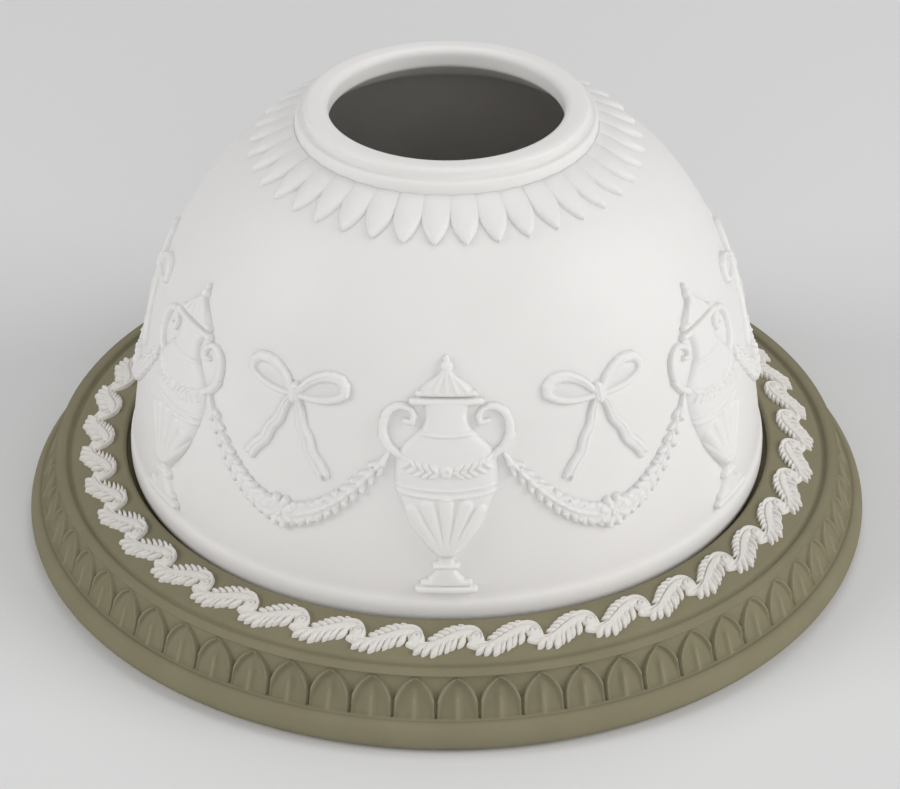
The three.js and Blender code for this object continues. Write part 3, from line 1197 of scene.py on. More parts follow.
@dataclass
class LeafBorder:
    """The running border of white leaf scrolls on the plate's flat, in strips of five."""

    plate: Plate
    strips: int = 8
    scrolls: int = 5
    seam_turn: float = -14.0
    eye_turn: float = 4.5
    eye_inward: float = 4.95
    cell: float = 0.11
    gap: float = 0.03
    edge: float = 0.1

    def scroll(self, eye: float) -> tuple[list[Stroke], list[Stroke]]:
        """Draws one scroll: a leaf that swings up and curls over its round eye.

        Args:
            eye: The eye's place along the chart.

        Returns:
            The strokes to lay, then those to carve.
        """

        def at(points: list[Spot]) -> list[Spot]:
            """Moves points along to this scroll's eye."""
            return [(eye + x, y) for x, y in points]

        spine = at(
            [(-10.6, 3.5), (-9.1, 3.1), (-7.6, 3.15), (-6.2, 3.7), (-4.9, 4.5), (-3.6, 5.25), (-2.3, 5.8)]
        )
        spine_rise = [0.5, 0.55, 0.6, 0.62, 0.62, 0.64, 0.66]
        curl = at([(-2.3, 5.95), (-1.1, 6.05), (-0.1, 5.75), (0.5, 5.1), (0.55, 4.3), (0.1, 3.6)])
        crest = at([(-2.6, 6.6), (-1.5, 6.8), (-0.4, 6.6), (0.4, 6.0), (0.8, 5.1), (0.85, 4.3), (0.6, 3.6)])
        crest_half = [0.2, 0.36, 0.42, 0.44, 0.42, 0.36, 0.2]
        under = at([(0.4, 4.0), (-0.5, 3.75), (-1.2, 3.4)])
        laid = [
            Stroke(spine, [0.8, 1.0, 1.0, 1.0, 1.0, 1.0, 0.95], spine_rise, 2.2),
            Stroke(curl, [1.0, 0.9, 0.8, 0.75, 0.8, 0.8], [0.68, 0.74, 0.78, 0.78, 0.72, 0.55], 2.2),
            Stroke(crest, crest_half, [0.75, 0.92, 0.98, 1.0, 0.98, 0.9, 0.6], 1.8),
            Stroke(under, [0.8, 0.8, 0.5], [0.6, 0.7, 0.62], 1.8),
            pearl((eye - 0.1, self.eye_inward - 0.1), 1.35, 0.86),
            pearl((eye, self.eye_inward), 0.6, 1.0),
        ]
        lobes = [
            ((-2.1, 5.4), (-3.1, 2.85), 0.54, 0.25),
            ((-3.3, 4.9), (-4.25, 2.4), 0.48, 0.15),
            ((-4.2, 4.5), (-5.15, 1.8), 0.52, 0.12),
            ((-5.3, 4.0), (-6.1, 1.5), 0.4, 0.1),
            ((-6.2, 3.6), (-7.3, 0.95), 0.66, 0.12),
            ((-7.6, 3.2), (-8.75, 1.15), 0.58, 0.1),
            ((-8.8, 3.2), (-10.1, 1.45), 0.58, 0.15),
        ]
        teeth = [
            ((-5.9, 4.0), (-8.0, 4.6), 0.42),
            ((-5.0, 4.65), (-7.25, 5.2), 0.42),
            ((-4.1, 5.3), (-6.45, 5.9), 0.42),
            ((-3.2, 5.85), (-5.6, 6.5), 0.42),
            ((-2.2, 6.25), (-4.5, 6.95), 0.4),
            ((-1.3, 6.55), (-3.1, 7.2), 0.34),
        ]
        for root, tip, half, bend in lobes:
            laid.append(leaf(*at([root, tip]), half, 0.92, bend))
        for root, tip, half in teeth:
            laid.append(leaf(*at([root, tip]), half, 0.9, -0.2, TOOTH_HALVES))
        vein = [(-10.4, 3.3), (-9.0, 3.3), (-7.5, 3.75), (-6.0, 4.6), (-4.5, 5.5), (-2.9, 6.15), (-1.2, 6.4)]
        vein = at([*vein, (0.1, 6.0)])
        ring = at([(-1.0, 4.3), (-0.85, 5.1), (-0.35, 5.65), (0.35, 5.65), (0.78, 5.1), (0.7, 4.3)])
        carved = [
            Stroke(vein, [0.16] * 8, [0.15, 0.3, 0.42, 0.46, 0.46, 0.42, 0.3, 0.1], 1.2),
            Stroke(ring, [0.16] * 6, [0.15, 0.38, 0.45, 0.45, 0.42, 0.15], 1.2),
            pearl((eye, self.eye_inward), 0.24, 0.6, 1.2),
        ]
        for root, tip, *_ in lobes:
            line = [between(root, tip, share) for share in (0.25, 0.55, 0.85)]
            carved.append(Stroke(at(line), [0.07] * 3, [0.06, 0.13, 0.06], 1.2))
        return laid, carved

    def build(self) -> list[bpy.types.Object]:
        """Builds the strips.

        Returns:
            The finished strips.
        """
        strip_turn = FULL_TURN / self.strips
        pitch = strip_turn / self.scrolls
        per_degree = math.radians(self.plate.flat_outer - self.eye_inward)
        high = (strip_turn * per_degree - self.gap, self.plate.flat_width - self.edge)
        pieces = []
        for strip in range(self.strips):
            start = self.seam_turn + strip * strip_turn
            chart = ReliefChart((self.gap, self.edge), high, self.cell)
            first = ((self.eye_turn - start) % pitch) * per_degree
            carved = []
            for k in range(-1, self.scrolls + 2):
                laid, cuts = self.scroll(first + k * pitch * per_degree)
                chart.lay(*laid)
                carved += cuts
            chart.carve(*carved)
            place = placing(self.plate.surface, start, per_degree)
            piece = chart.solid(f"leaf_border_{strip + 1}", place)
            pieces.append(finish_piece(piece, WHITE_SPRIG, Body.PLATE, f"border_strip_{strip + 1}"))
        return pieces


# Dome


@dataclass
class Dome:
    """The bisque dome, in millimetres. Its wall leans in and closes along a squared curve."""

    rise: float = 67.9
    lean: float = 0.138
    power: float = 2.9
    wall: float = 3.2
    band_height: float = 4.6
    band_ease: float = 1.2
    step_radius: float = 25.9
    step_height: float = 2.4
    lip_radius: float = 24.4
    lip_height: float = 4.2
    lip_rounding: float = 1.5
    mouth_radius: float = 20.2
    mouth_depth: float = 3.4
    flare_radius: float = 24.6
    outer_steps: int = 70
    inner_steps: int = 44
    columns: int = 288
    samples: int = 4001
    table_steps: int = 400
    foot: float = field(init=False)
    foot_z: float = field(init=False)
    table: np.ndarray = field(init=False)
    length: float = field(init=False)

    def __post_init__(self) -> None:
        """Works out the dome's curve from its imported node."""
        low, high = box_mm("dome_shade")
        self.foot = high.x
        self.foot_z = low.z
        points = self.curve(self.table_steps, 0.0, self.step_radius)
        steps = np.linalg.norm(np.diff(points, axis=0), axis=1)
        along = np.concatenate([[0], np.cumsum(steps)])
        slope = np.gradient(points, along, axis=0)
        slope /= np.linalg.norm(slope, axis=1)[:, None]
        self.length = along[-1]
        self.table = np.column_stack([along, points, slope])

    def point(self, turn: np.ndarray, inset: float) -> np.ndarray:
        """Gives points on the curve.

        Args:
            turn: From 0 at the foot to a quarter circle at the top.
            inset: How far inside the outer curve.

        Returns:
            The [radius, height] points.
        """
        share = np.sin(turn) ** (2 / self.power)
        radius = (self.foot - inset) * (1 - self.lean * share) * np.cos(turn) ** (2 / self.power)
        return np.stack([radius, self.foot_z + (self.rise - inset) * share], axis=-1)

    def curve(self, steps: int, inset: float, end_radius: float) -> np.ndarray:
        """Draws the curve from the foot to a radius.

        Args:
            steps: Steps along it.
            inset: How far inside the outer curve.
            end_radius: The radius that it ends at.

        Returns:
            The [radius, height] points.
        """
        turns = np.linspace(0, math.pi / 2, self.samples)
        end = np.interp(-end_radius, -self.point(turns, inset)[:, 0], turns)
        return self.point(np.linspace(0, end, steps + 1), inset)

    def radius(self, along: np.ndarray | float) -> np.ndarray:
        """Gives the wall's radius at a distance along it from the foot."""
        return np.interp(along, self.table[:, 0], self.table[:, 1])

    def surface(self, angle: np.ndarray, along: np.ndarray, lift: np.ndarray) -> np.ndarray:
        """Places points on the wall.

        Args:
            angle: Angles, in degrees.
            along: Distances along the wall from the foot.
            lift: Heights off the wall.

        Returns:
            The points, in millimetres.
        """
        r, z, dr, dz = (np.interp(along, self.table[:, 0], self.table[:, k]) for k in range(1, 5))
        return around_axis(r + dz * lift, angle, z - dr * lift)

    def build(self) -> bpy.types.Object:
        """Builds the dome's shell.

        Returns:
            The finished dome.
        """
        outer = self.curve(self.outer_steps, 0.0, self.step_radius)
        band_z = self.foot_z + self.band_height
        outer = outer[outer[:, 1] > band_z + self.band_ease]
        inner = self.curve(self.inner_steps, self.wall, self.flare_radius)[::-1]
        foot = rounded(
            [
                (self.foot - self.wall, self.foot_z, 0),
                (self.foot - 0.4, self.foot_z, 0.3),
                (self.foot, self.foot_z + 0.9, 1.1),
                (self.foot - 0.05, band_z - 0.4, 1.2),
                (outer[0, 0] + 0.02, band_z + 0.7, 1.0),
                (outer[1, 0], outer[1, 1], 0),
            ],
            steps=7,
        )
        top_z = outer[-1, 1]
        step_z = top_z + self.step_height
        lip_z = top_z + self.lip_height
        ring = rounded(
            [
                (outer[-3, 0], outer[-3, 1], 0),
                (self.step_radius + 0.1, top_z + 0.05, 0.5),
                (self.step_radius, step_z, 1.6),
                (self.lip_radius + 0.35, step_z - 0.1, 1.0),
                (self.lip_radius, step_z + 0.5, 0.4),
                (self.lip_radius, lip_z, self.lip_rounding),
                (self.mouth_radius, lip_z, self.lip_rounding),
                (self.mouth_radius, lip_z - self.mouth_depth, 0.5),
                (inner[0, 0], inner[0, 1], 2.0),
                (inner[3, 0], inner[3, 1], 0),
            ],
            steps=10,
        )
        outline = np.concatenate([foot, outer[2:-3], ring, inner[4:]])
        dome = turned_object("dome_body", outline, self.columns, closed=True)
        return finish_piece(dome, WHITE_BISQUE, Body.SHADE, "dome_shade")


@dataclass
class LeafCollar:
    """The collar of pointed leaves round the dome's mouth, laid on in strips."""

    dome: Dome
    strips: int = 8
    leaves: int = 5
    length: float = 8.9
    turn: float = 5.7
    tucked: float = 0.6
    below_ring: float = 0.9
    edge: float = 0.2
    gap: float = 0.02
    cell: float = 0.12

    def leaf_strokes(self, middle: float, half: float) -> tuple[Stroke, Stroke]:
        """Draws one leaf, hanging down the chart from the top.

        Args:
            middle: Its middle line's place.
            half: Half the pitch of the leaves.

        Returns:
            The leaf's body, and the ridge that is piled on it.
        """
        shape = [
            (0.0, 1.25, 0.4),
            (0.2, 1.2, 0.55),
            (0.38, 1.08, 0.66),
            (0.55, 0.92, 0.74),
            (0.7, 0.7, 0.78),
            (0.83, 0.45, 0.76),
            (0.93, 0.22, 0.66),
            (1.0, 0.04, 0.5),
        ]
        top = self.length + self.tucked
        line = [(middle, top - share * self.length) for share, _, _ in shape]
        body = Stroke(line, [half * wide for _, wide, _ in shape], [tall for _, _, tall in shape], 2.6)
        ridge_line = [(middle, top - share * self.length) for share in (0.3, 0.6, 0.9)]
        ridge = Stroke(ridge_line, [half * 0.7, half * 0.62, half * 0.24], [0.04, 0.2, 0.16], 0.9)
        return body, ridge

    def build(self) -> list[bpy.types.Object]:
        """Builds the strips.

        Returns:
            The finished strips.
        """
        strip_turn = FULL_TURN / self.strips
        base = self.dome.length - self.length - self.below_ring
        per_degree = math.radians(float(self.dome.radius(base + self.length * 0.45)))
        span = strip_turn * per_degree
        step = span / self.leaves
        pieces = []
        for strip in range(self.strips):
            start = self.turn + (strip - 0.5) * strip_turn
            high = (span - self.gap, self.length + self.tucked + self.edge)
            chart = ReliefChart((self.gap, self.edge), high, self.cell)
            for k in range(self.leaves):
                body, ridge = self.leaf_strokes((k + 0.5) * step, step / 2)
                chart.lay(body)
                chart.pile(ridge)
            place = placing(self.dome.surface, start, per_degree, base)
            piece = chart.solid(f"leaf_collar_{strip + 1}", place)
            pieces.append(finish_piece(piece, WHITE_BISQUE, Body.SHADE, f"collar_strip_{strip + 1}"))
        return pieces


@dataclass
class Frieze:
    """The dome's applied reliefs: footed vases, garlands between them and bows over the garlands."""

    dome: Dome
    bays: int = 6
    foot: float = 6.4
    vase_half: float = 8.6
    garland_hang: float = 30.0
    garland_sag: float = 13.0
    garland_leaves: int = 13
    bow_height: float = 38.0
    cell: float = 0.14

    def chart_place(self, middle: float, base: float) -> Place:
        """Gives the placing of a chart on the dome.

        Args:
            middle: The chart's upright line, in degrees.
            base: The height along the wall of the chart's zero.

        Returns:
            The placing.
        """

        def place(across: np.ndarray, up: np.ndarray, lift: np.ndarray) -> np.ndarray:
            """Places points of the chart on the dome.

            Args:
                across: Distances to the right of the chart's upright line.
                up: Distances up the chart.
                lift: Heights off the wall.

            Returns:
                The points, in millimetres.
            """
            along = base + up
            angle = middle + np.degrees(across / self.dome.radius(along))
            return self.dome.surface(angle, along, lift)

        return place

    def vase_chart(self) -> ReliefChart:
        """Models a footed vase with a lid, two scroll handles, gadroons and a belly spray.

        Returns:
            The chart, with its zero at the vase's foot.
        """
        chart = ReliefChart((-11.5, -0.4), (11.5, 41.5), self.cell)
        chart.lay(bar(4.5, 0.75, half=0.75, rise=1.15, crown=2.4))
        chart.lay(bar(3.7, 2.0, half=0.62, rise=1.0, crown=2.0))
        chart.lay_turned([(2.2, 3.5), (3.2, 2.6), (4.4, 1.6), (6.2, 1.35), (7.4, 1.8)], 1.0)
        chart.lay(bar(1.7, 5.2, half=0.62, rise=1.25, crown=1.6))
        body = [(6.9, 1.6), (9, 3.4), (12, 5.5), (15.5, 7.2), (19.5, 8.35), (22.5, 8.5)]
        chart.lay_turned([*body, (25.4, 7.7), (27.6, 5.7), (29.4, 4.0), (31.4, 3.4), (33.2, 3.9)], 1.25, 2.6)
        handle = [(7.1, 24.2), (9.6, 26.0), (10.4, 29.0), (9.2, 31.9), (6.9, 32.7), (5.2, 31.4)]
        handle += [(5.6, 30.0), (6.7, 30.3)]
        handle_half = [0.75, 0.8, 0.75, 0.7, 0.62, 0.55, 0.5, 0.5]
        handle_rise = [0.9, 1.0, 1.05, 1.05, 1.0, 0.95, 0.9, 1.0]
        for side in (-1, 1):
            chart.lay(Stroke(mirrored(side, *handle), handle_half, handle_rise, 1.7))
            chart.lay(leaf((side * 9.0, 25.4), (side * 11.2, 27.9), 0.6, 1.1))
        for k in range(-3, 4):
            spread = math.radians(k * 23)
            tip = (7.6 * math.sin(spread) * 1.02, 7.3 + 9.4 * math.cos(spread * 0.72))
            chart.pile(Stroke([(k * 0.35, 7.6), tip], [0.35, 1.22], [0.25, 0.5], 1.4))
        chart.pile(hoop(8.1, 18.4, sag=0.7, half=0.42, rise=0.35))
        chart.pile(hoop(8.3, 19.6, sag=0.7, half=0.28, rise=0.28))
        for side in (-1, 1):
            for k in range(5):
                x = side * (1.3 + 1.2 * k)
                y = 22.0 + 0.06 * (k * 1.2) ** 2
                chart.pile(leaf((x, y), (x + side * 1.3, y + 1.5), 0.42, 0.42))
                chart.pile(leaf((x, y), (x + side * 1.5, y - 1.0), 0.42, 0.42))
        chart.pile(pearl((0, 22.1), 1.1, 0.5))
        chart.carve(pearl((0, 22.1), 0.4, 0.25, 1.2))
        chart.pile(hoop(5.3, 28.6, sag=0.5, half=0.36, rise=0.32))
        chart.lay(bar(5.5, 33.6, half=0.62, rise=1.3, crown=2.2))
        chart.lay(bar(4.6, 34.9, half=0.5, rise=1.15, crown=2.0))
        chart.lay_turned([(35.0, 4.6), (36.1, 4.0), (37.2, 2.6), (38.2, 1.2), (38.8, 0.9)], 1.15)
        for k in range(-2, 3):
            chart.pile(Stroke([(k * 1.7, 35.3), (k * 0.5, 38.2)], [0.4, 0.2], [0.25, 0.15], 1.2))
        chart.lay(pearl((0, 39.4), 1.05, 1.2, 1.7))
        chart.lay(leaf((0, 39.8), (0, 41.3), 0.5, 1.0))
        return chart

    def garland_chart(self, reach: float) -> ReliefChart:
        """Models a leaf garland that hangs from its two ends, with berries and a flower in its middle.

        Args:
            reach: Half its width.

        Returns:
            The chart, with its zero at the height of the garland's ends.
        """
        chart = ReliefChart((-reach - 3, -self.garland_sag - 5), (reach + 3, 4), self.cell)

        def spot(share: float) -> np.ndarray:
            """Gives the point of the garland at a share of its reach."""
            return np.array([reach * share, -self.garland_sag * (1 - share * share)])

        stem = [spot(share) for share in np.linspace(-1, 1, 11)]
        chart.lay(Stroke(stem, [0.5, 0.7, 0.9, 1.1, 1.2, 1.2, 1.2, 1.1, 0.9, 0.7, 0.5], [0.6] * 11, 1.6))
        for side in (-1, 1):
            for k in range(self.garland_leaves):
                share = side * (1 - (k + 0.3) / (self.garland_leaves + 0.6))
                fullness = 1 - abs(share)
                here, ahead = spot(share), spot(share - side * 0.03)
                run = (ahead - here) / np.linalg.norm(ahead - here)
                aside = np.array([-run[1], run[0]])
                size = 2.3 + 1.7 * fullness
                for up in (-1, 1):
                    tip = here + run * size * 0.82 + aside * up * size * 0.62
                    chart.lay(leaf(here, tip, size * 0.25, 0.8 + 0.3 * fullness, -0.25 * up))
                chart.lay(leaf(here, here + run * size * 0.8, size * 0.22, 1.15))
                if k % 2:
                    for up in (-1, 1):
                        berry = here + aside * up * (0.35 + size * 0.28) - run * 0.4
                        chart.lay(pearl(berry, 0.42, 1.2, 1.5))
        centre = spot(0.0)
        for k in range(8):
            turn = math.radians(k * 45 + 22.5)
            out = np.array([math.cos(turn), math.sin(turn)])
            petal = [centre + out * 0.9, centre + out * 2.3]
            chart.lay(Stroke(petal, [0.5, 0.85], [1.1, 1.35], 1.6))
        chart.lay(pearl(centre, 0.95, 1.55))
        chart.carve(pearl(centre, 0.35, 0.3, 1.2))
        for side in (-1, 1):
            end = spot(side)
            tie = [end + (-side * 0.2, -0.9), end, end + (side * 0.6, 1.2)]
            chart.lay(Stroke(tie, [0.7, 0.55, 0.4], [1.0, 1.0, 0.9], 1.7))
        return chart

    def bow_chart(self) -> ReliefChart:
        """Models a ribbon bow with two loops and two waving tails.

        Returns:
            The chart, with its zero at the bow's knot.
        """
        chart = ReliefChart((-10.5, -14), (10.5, 5.5), self.cell)
        loop = [(0.4, 0.1), (2.6, 2.6), (5.6, 4.0), (8.4, 3.4), (8.9, 1.6), (6.8, 0.3)]
        loop += [(3.6, -0.3), (0.6, -0.3)]
        loop_half = [0.6, 0.85, 1.0, 0.9, 0.75, 0.75, 0.7, 0.5]
        loop_rise = [1.0, 1.1, 1.1, 1.1, 0.95, 0.9, 0.9, 0.9]
        tail = [(0.3, -0.4), (1.5, -2.6), (2.1, -4.9), (3.6, -7.0), (4.4, -9.2), (6.2, -11.2), (7.1, -12.6)]
        tail_half = [0.6, 0.8, 1.0, 1.05, 1.15, 1.15, 1.25]
        tail_rise = [1.0, 0.95, 0.8, 0.95, 0.75, 0.95, 0.8]
        crease_half = [0.12, 0.16, 0.14, 0.18, 0.14, 0.16, 0.1]
        crease_depth = [0.3, 0.3, 0.12, 0.3, 0.12, 0.3, 0.2]
        for side in (-1, 1):
            inside = mirrored(side, (1.2, 0.3), (4.6, 1.6), (7.6, 2.0))
            chart.lay(Stroke(inside, [0.8, 1.6, 1.3], [0.35, 0.4, 0.35], 1.4))
            chart.lay(Stroke(mirrored(side, *loop), loop_half, loop_rise, 1.7))
            pleat = mirrored(side, (1.2, 0.9), (3.0, 2.6), (5.4, 3.9))
            chart.carve(Stroke(pleat, [0.1, 0.14, 0.1], [0.2, 0.3, 0.15], 1.2))
            line = mirrored(side, *tail)
            chart.lay(Stroke(line, tail_half, tail_rise, 1.9))
            chart.carve(Stroke(line, crease_half, crease_depth, 1.2))
            notch = mirrored(side, (7.2, -12.9), (8.4, -14.2))
            chart.carve(Stroke(notch, [0.25, 0.9], [1.4, 1.6], 2.0))
        chart.lay(Stroke([(0, -0.8), (0, 0.9)], [1.15, 1.0], [1.4, 1.4], 1.6))
        for side in (-1, 1):
            fold = mirrored(side, (0.4, -1.6), (0.35, 1.4))
            chart.carve(Stroke(fold, [0.12] * 2, [0.25] * 2, 1.2))
        return chart

    def build(self) -> list[bpy.types.Object]:
        """Builds all the reliefs.

        Returns:
            The finished reliefs.
        """
        bay = FULL_TURN / self.bays
        hang_radius = float(self.dome.radius(self.garland_hang))
        reach = math.radians(bay / 2) * hang_radius - (self.vase_half + 1.5)
        kinds = [
            ("vase", self.vase_chart(), 0.0, self.foot),
            ("garland", self.garland_chart(reach), bay / 2, self.garland_hang),
            ("bow", self.bow_chart(), bay / 2, self.bow_height),
        ]
        pieces = []
        for number in range(self.bays):
            for kind, chart, offset, base in kinds:
                place = self.chart_place(number * bay + offset, base)
                piece = chart.solid(f"frieze_{kind}_{number + 1}", place)
                pieces.append(finish_piece(piece, WHITE_BISQUE, Body.SHADE, f"{kind}_{number + 1}"))
        return pieces


# Tea light


@dataclass
class TeaLight:
    """The tea light: foil cup, poured wax, pressed clip and braided wick, in millimetres."""

    cup_wall: float = 0.4
    lip: float = 0.5
    flutes: int = 60
    flute_depth: float = 0.14
    cup_columns: int = 240
    wax_columns: int = 144
    clip_columns: int = 96
    strands: int = 3
    wick_twist: float = 900.0
    wick_lean: float = 0.55
    wick_rows: int = 90
    wick_columns: int = 36

    def build(self) -> list[bpy.types.Object]:
        """Builds the tea light's four pieces.

        Returns:
            The finished pieces.
        """
        return [self.cup(), self.wax(), self.clip(), self.wick()]

    def cup(self) -> bpy.types.Object:
        """Builds the fluted foil cup with its rolled lip.

        Returns:
            The finished cup.
        """
        low, high = box_mm("tealight_cup")
        radius = high.x - self.lip
        wall = self.cup_wall
        outline = rounded(
            [
                (0, low.z + 0.2, 0),
                (radius - 4, low.z + 0.2, 1),
                (radius - 3, low.z, 0.5),
                (radius, low.z, 1.2),
                (radius, high.z - 0.7, 0.1),
                (high.x, high.z - 0.7, 0.3),
                (high.x, high.z, 0.3),
                (radius - wall, high.z, 0.4),
                (radius - wall, low.z + wall, 1.1),
                (radius - 3, low.z + wall, 0.5),
                (0, low.z + wall + 0.1, 0),
            ],
            steps=6,
        )
        outline = resampled(outline, spacing=1.6)
        on_wall = (np.abs(outline[:, 0] - (radius - wall / 2)) < wall) & (outline[:, 1] > low.z + 1.2)
        fade = np.where(on_wall, np.clip((high.z - 0.9 - outline[:, 1]) / 2.0, 0, 1), 0)
        turn = np.radians(ring_angles(self.cup_columns) * self.flutes / 2)
        rings = outline[:, :1] - fade[:, None] * self.flute_depth * (1 - np.abs(np.cos(turn)))
        cup = ringed_object("foil_cup", rings, outline[:, 1:])
        weld(cup)
        return finish_piece(cup, CUP_METAL, Body.CANDLE, "tealight_cup")

    def wax(self) -> bpy.types.Object:
        """Builds the wax, with a raised edge where it clings and a shallow dip round the wick.

        Returns:
            The finished wax.
        """
        low, high = box_mm("tealight_wax")
        clip = box_mm("wick_clip")[1]
        wick = box_mm("wick")[1].x
        outline = rounded(
            [
                (clip.x + 0.3, low.z, 0),
                (high.x - 1, low.z, 0.8),
                (high.x, low.z + 1, 0.5),
                (high.x, high.z, 0.2),
                (high.x - 0.9, high.z - 0.4, 0.8),
                (wick + 3.2, high.z - 0.35, 2),
                (wick + 1.2, high.z - 0.75, 0.8),
                (wick + 0.25, high.z - 0.5, 0.2),
                (wick + 0.25, clip.z + 0.3, 0.1),
                (clip.x + 0.3, clip.z + 0.3, 0.1),
            ],
            steps=6,
        )
        outline = resampled(outline, spacing=1.5)
        wax = turned_object("poured_wax", outline, self.wax_columns, closed=True)
        return finish_piece(wax, CANDLE_WAX, Body.CANDLE, "tealight_wax")

    def clip(self) -> bpy.types.Object:
        """Builds the pressed clip that holds the wick.

        Returns:
            The finished clip.
        """
        low, high = box_mm("wick_clip")
        wick = box_mm("wick")[1].x
        outline = rounded(
            [
                (0, low.z, 0),
                (high.x, low.z, 0.15),
                (high.x, low.z + 0.3, 0.15),
                (wick + 2.2, low.z + 0.35, 0.6),
                (wick + 1.0, high.z, 0.3),
                (0, high.z, 0),
            ]
        )
        clip = turned_object("wick_holder", resampled(outline, spacing=1.0), self.clip_columns)
        return finish_piece(clip, CLIP_METAL, Body.CANDLE, "wick_clip")

    def wick(self) -> bpy.types.Object:
        """Builds the braided wick: twisted strands that lean over a little at the top.

        Returns:
            The finished wick.
        """
        low, high = box_mm("wick")
        rows, columns = self.wick_rows, self.wick_columns
        share = np.linspace(0, 1, rows)[:, None]
        turn = ring_angles(columns)
        strand = np.abs(np.sin(np.radians(self.strands / 2 * (turn + self.wick_twist * share))))
        end = np.clip((1 - share) / 0.05, 0, 1) ** 0.5 * np.clip(share / 0.02, 0, 1) ** 0.5
        girth = high.x * (0.84 + 0.15 * strand) * np.maximum(end, 0.05)
        points = around_axis(girth, turn, low.z + (high.z - low.z) * share)
        points[..., 0] += np.clip((share - 0.55) / 0.45, 0, 1) ** 2 * self.wick_lean
        wick = mesh_object("braided_wick", points.reshape(-1, 3), grid_quads(rows, columns, True))
        self._cap(wick)
        return finish_piece(wick, WICK_COTTON, Body.CANDLE, "wick")

    def _cap(self, wick: bpy.types.Object) -> None:
        """Closes the wick's two ends.

        Args:
            wick: The wick.
        """
        editor = bmesh.new()
        editor.from_mesh(wick.data)
        editor.verts.ensure_lookup_table()
        for first in (0, (self.wick_rows - 1) * self.wick_columns):
            editor.faces.new([editor.verts[first + k] for k in range(self.wick_columns)])
        bmesh.ops.recalc_face_normals(editor, faces=editor.faces)
        editor.to_mesh(wick.data)
        editor.free()


# Studio


@dataclass(frozen=True)
class Softbox:
    """A soft round lamp. Angles are in degrees, its width in metres and its power in watts."""

    name: str
    azimuth: float
    elevation: float
    width: float
    power: float
    blue: float = 1.0
    distance: float = 1.1

    def hang(self, aim: Vector) -> None:
        """Hangs the lamp so that it points at the object.

        Args:
            aim: The point that it lights, in metres.
        """
        data = bpy.data.lights.new(self.name, "AREA")
        data.shape = "DISK"
        data.size = self.width
        data.energy = self.power
        data.color = (1.0, 0.5 + self.blue / 2, self.blue)
        turn, tilt = math.radians(self.azimuth), math.radians(self.elevation)
        way = Vector((math.sin(turn) * math.cos(tilt), -math.cos(turn) * math.cos(tilt), math.sin(tilt)))
        made = bpy.data.objects.new(self.name, data)
        made.location = way * self.distance + aim
        made.rotation_euler = way.to_track_quat("Z", "Y").to_euler()
        bpy.context.scene.collection.objects.link(made)


SOFTBOXES = (
    Softbox("right_softbox", azimuth=78, elevation=30, width=0.7, power=5.9, blue=0.98),
    Softbox("left_softbox", azimuth=-78, elevation=30, width=0.6, power=4.8, blue=0.98),
    Softbox("top_softbox", azimuth=168, elevation=62, width=0.7, power=2.3),
    Softbox("front_softbox", azimuth=10, elevation=14, width=0.9, power=3.6, blue=0.97),
)


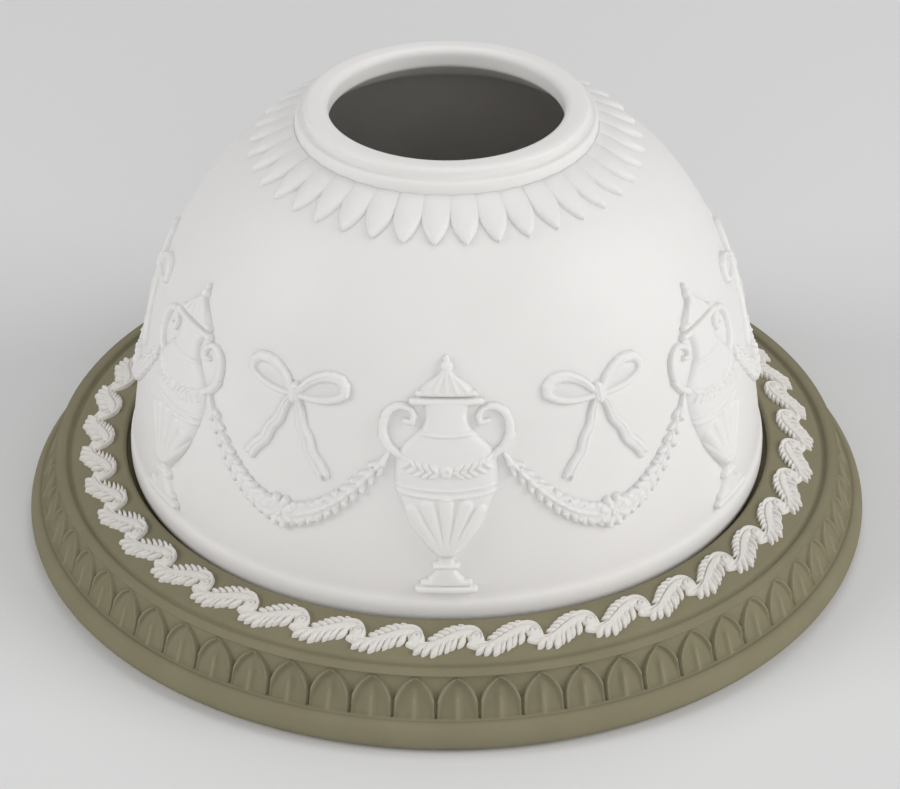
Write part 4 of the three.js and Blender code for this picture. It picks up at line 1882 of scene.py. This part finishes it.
@dataclass
class Studio:
    """The pale floor, the soft lamps and the camera at the photograph's angle."""

    image_width: int = 900
    focal_px: float = 3056.9
    distance_mm: float = 552.4
    elevation: float = 32.61
    aim_mm: tuple[float, float, float] = (0.59, 0.0, 21.25)
    sensor_mm: float = 36.0
    floor_grey: float = 0.72
    floor_drift: float = 0.03
    floor_reach: float = 2.4
    floor_half: float = 4.0
    floor_columns: int = 24
    backdrop_bend: float = 1.2
    backdrop_rise: float = 2.2
    room_light: float = 0.27
    softboxes: tuple[Softbox, ...] = SOFTBOXES

    def camera(self) -> None:
        """Places the camera."""
        data = bpy.data.cameras.new("camera")
        data.sensor_width = self.sensor_mm
        data.lens = self.focal_px * self.sensor_mm / self.image_width
        data.clip_start, data.clip_end = 0.01, 20
        camera = bpy.data.objects.new("camera", data)
        tilt = math.radians(self.elevation)
        back = Vector((0, -math.cos(tilt), math.sin(tilt)))
        camera.location = (Vector(self.aim_mm) + back * self.distance_mm) * MM
        camera.rotation_euler = (math.pi / 2 - tilt, 0, 0)
        bpy.context.scene.collection.objects.link(camera)
        bpy.context.scene.camera = camera

    def floor(self) -> None:
        """Lays a pale floor that curves up far behind."""
        reach, bend = self.floor_reach, self.backdrop_bend
        turn = np.linspace(0, math.pi / 2, 17)
        line = [(-reach, 0.0), *[(reach + bend * math.sin(a), bend * (1 - math.cos(a))) for a in turn]]
        line.append((reach + bend, self.backdrop_rise + bend))
        across = np.linspace(-self.floor_half, self.floor_half, self.floor_columns)
        points = np.array([[(x, y, z) for x in across] for y, z in line]).reshape(-1, 3) / MM
        floor = mesh_object("floor", points, grid_quads(len(line), self.floor_columns, False))
        shader = Shader("pale_floor")
        drift = shader.ramp(shader.noise(1.4, detail=2.0), 0.3, 0.7)
        grey, pale = self.floor_grey, self.floor_grey + self.floor_drift
        colour = shader.mixed(drift, (grey, grey, grey, 1), (pale, pale, pale, 1))
        floor.data.materials.append(shader.finish({"Base Color": colour, "Roughness": 0.9}))

    def world(self) -> None:
        """Fills the room with an even pale light."""
        world = bpy.data.worlds.new("studio_room")
        bpy.context.scene.world = world
        world.use_nodes = True
        background = world.node_tree.nodes["Background"]
        background.inputs["Color"].default_value = (0.96, 0.98, 1.0, 1)
        background.inputs["Strength"].default_value = self.room_light

    def build(self) -> None:
        """Sets up the whole studio."""
        bpy.context.scene.view_settings.view_transform = "Standard"
        self.camera()
        self.floor()
        self.world()
        for softbox in self.softboxes:
            softbox.hang(Vector(self.aim_mm) * MM)


def main() -> None:
    """Builds the studio and the holder, and reports each piece."""
    logging.basicConfig(level=logging.INFO, format="%(name)s %(message)s")
    Studio().build()
    plate, dome = Plate(), Dome()
    pieces = [plate.build(), *LeafBorder(plate).build()]
    pieces += [dome.build(), *LeafCollar(dome).build(), *Frieze(dome).build()]
    pieces += TeaLight().build()
    for piece in pieces:
        log.info("%s: %d faces", piece.name, len(piece.data.polygons))


if __name__ == "__main__":
    main()
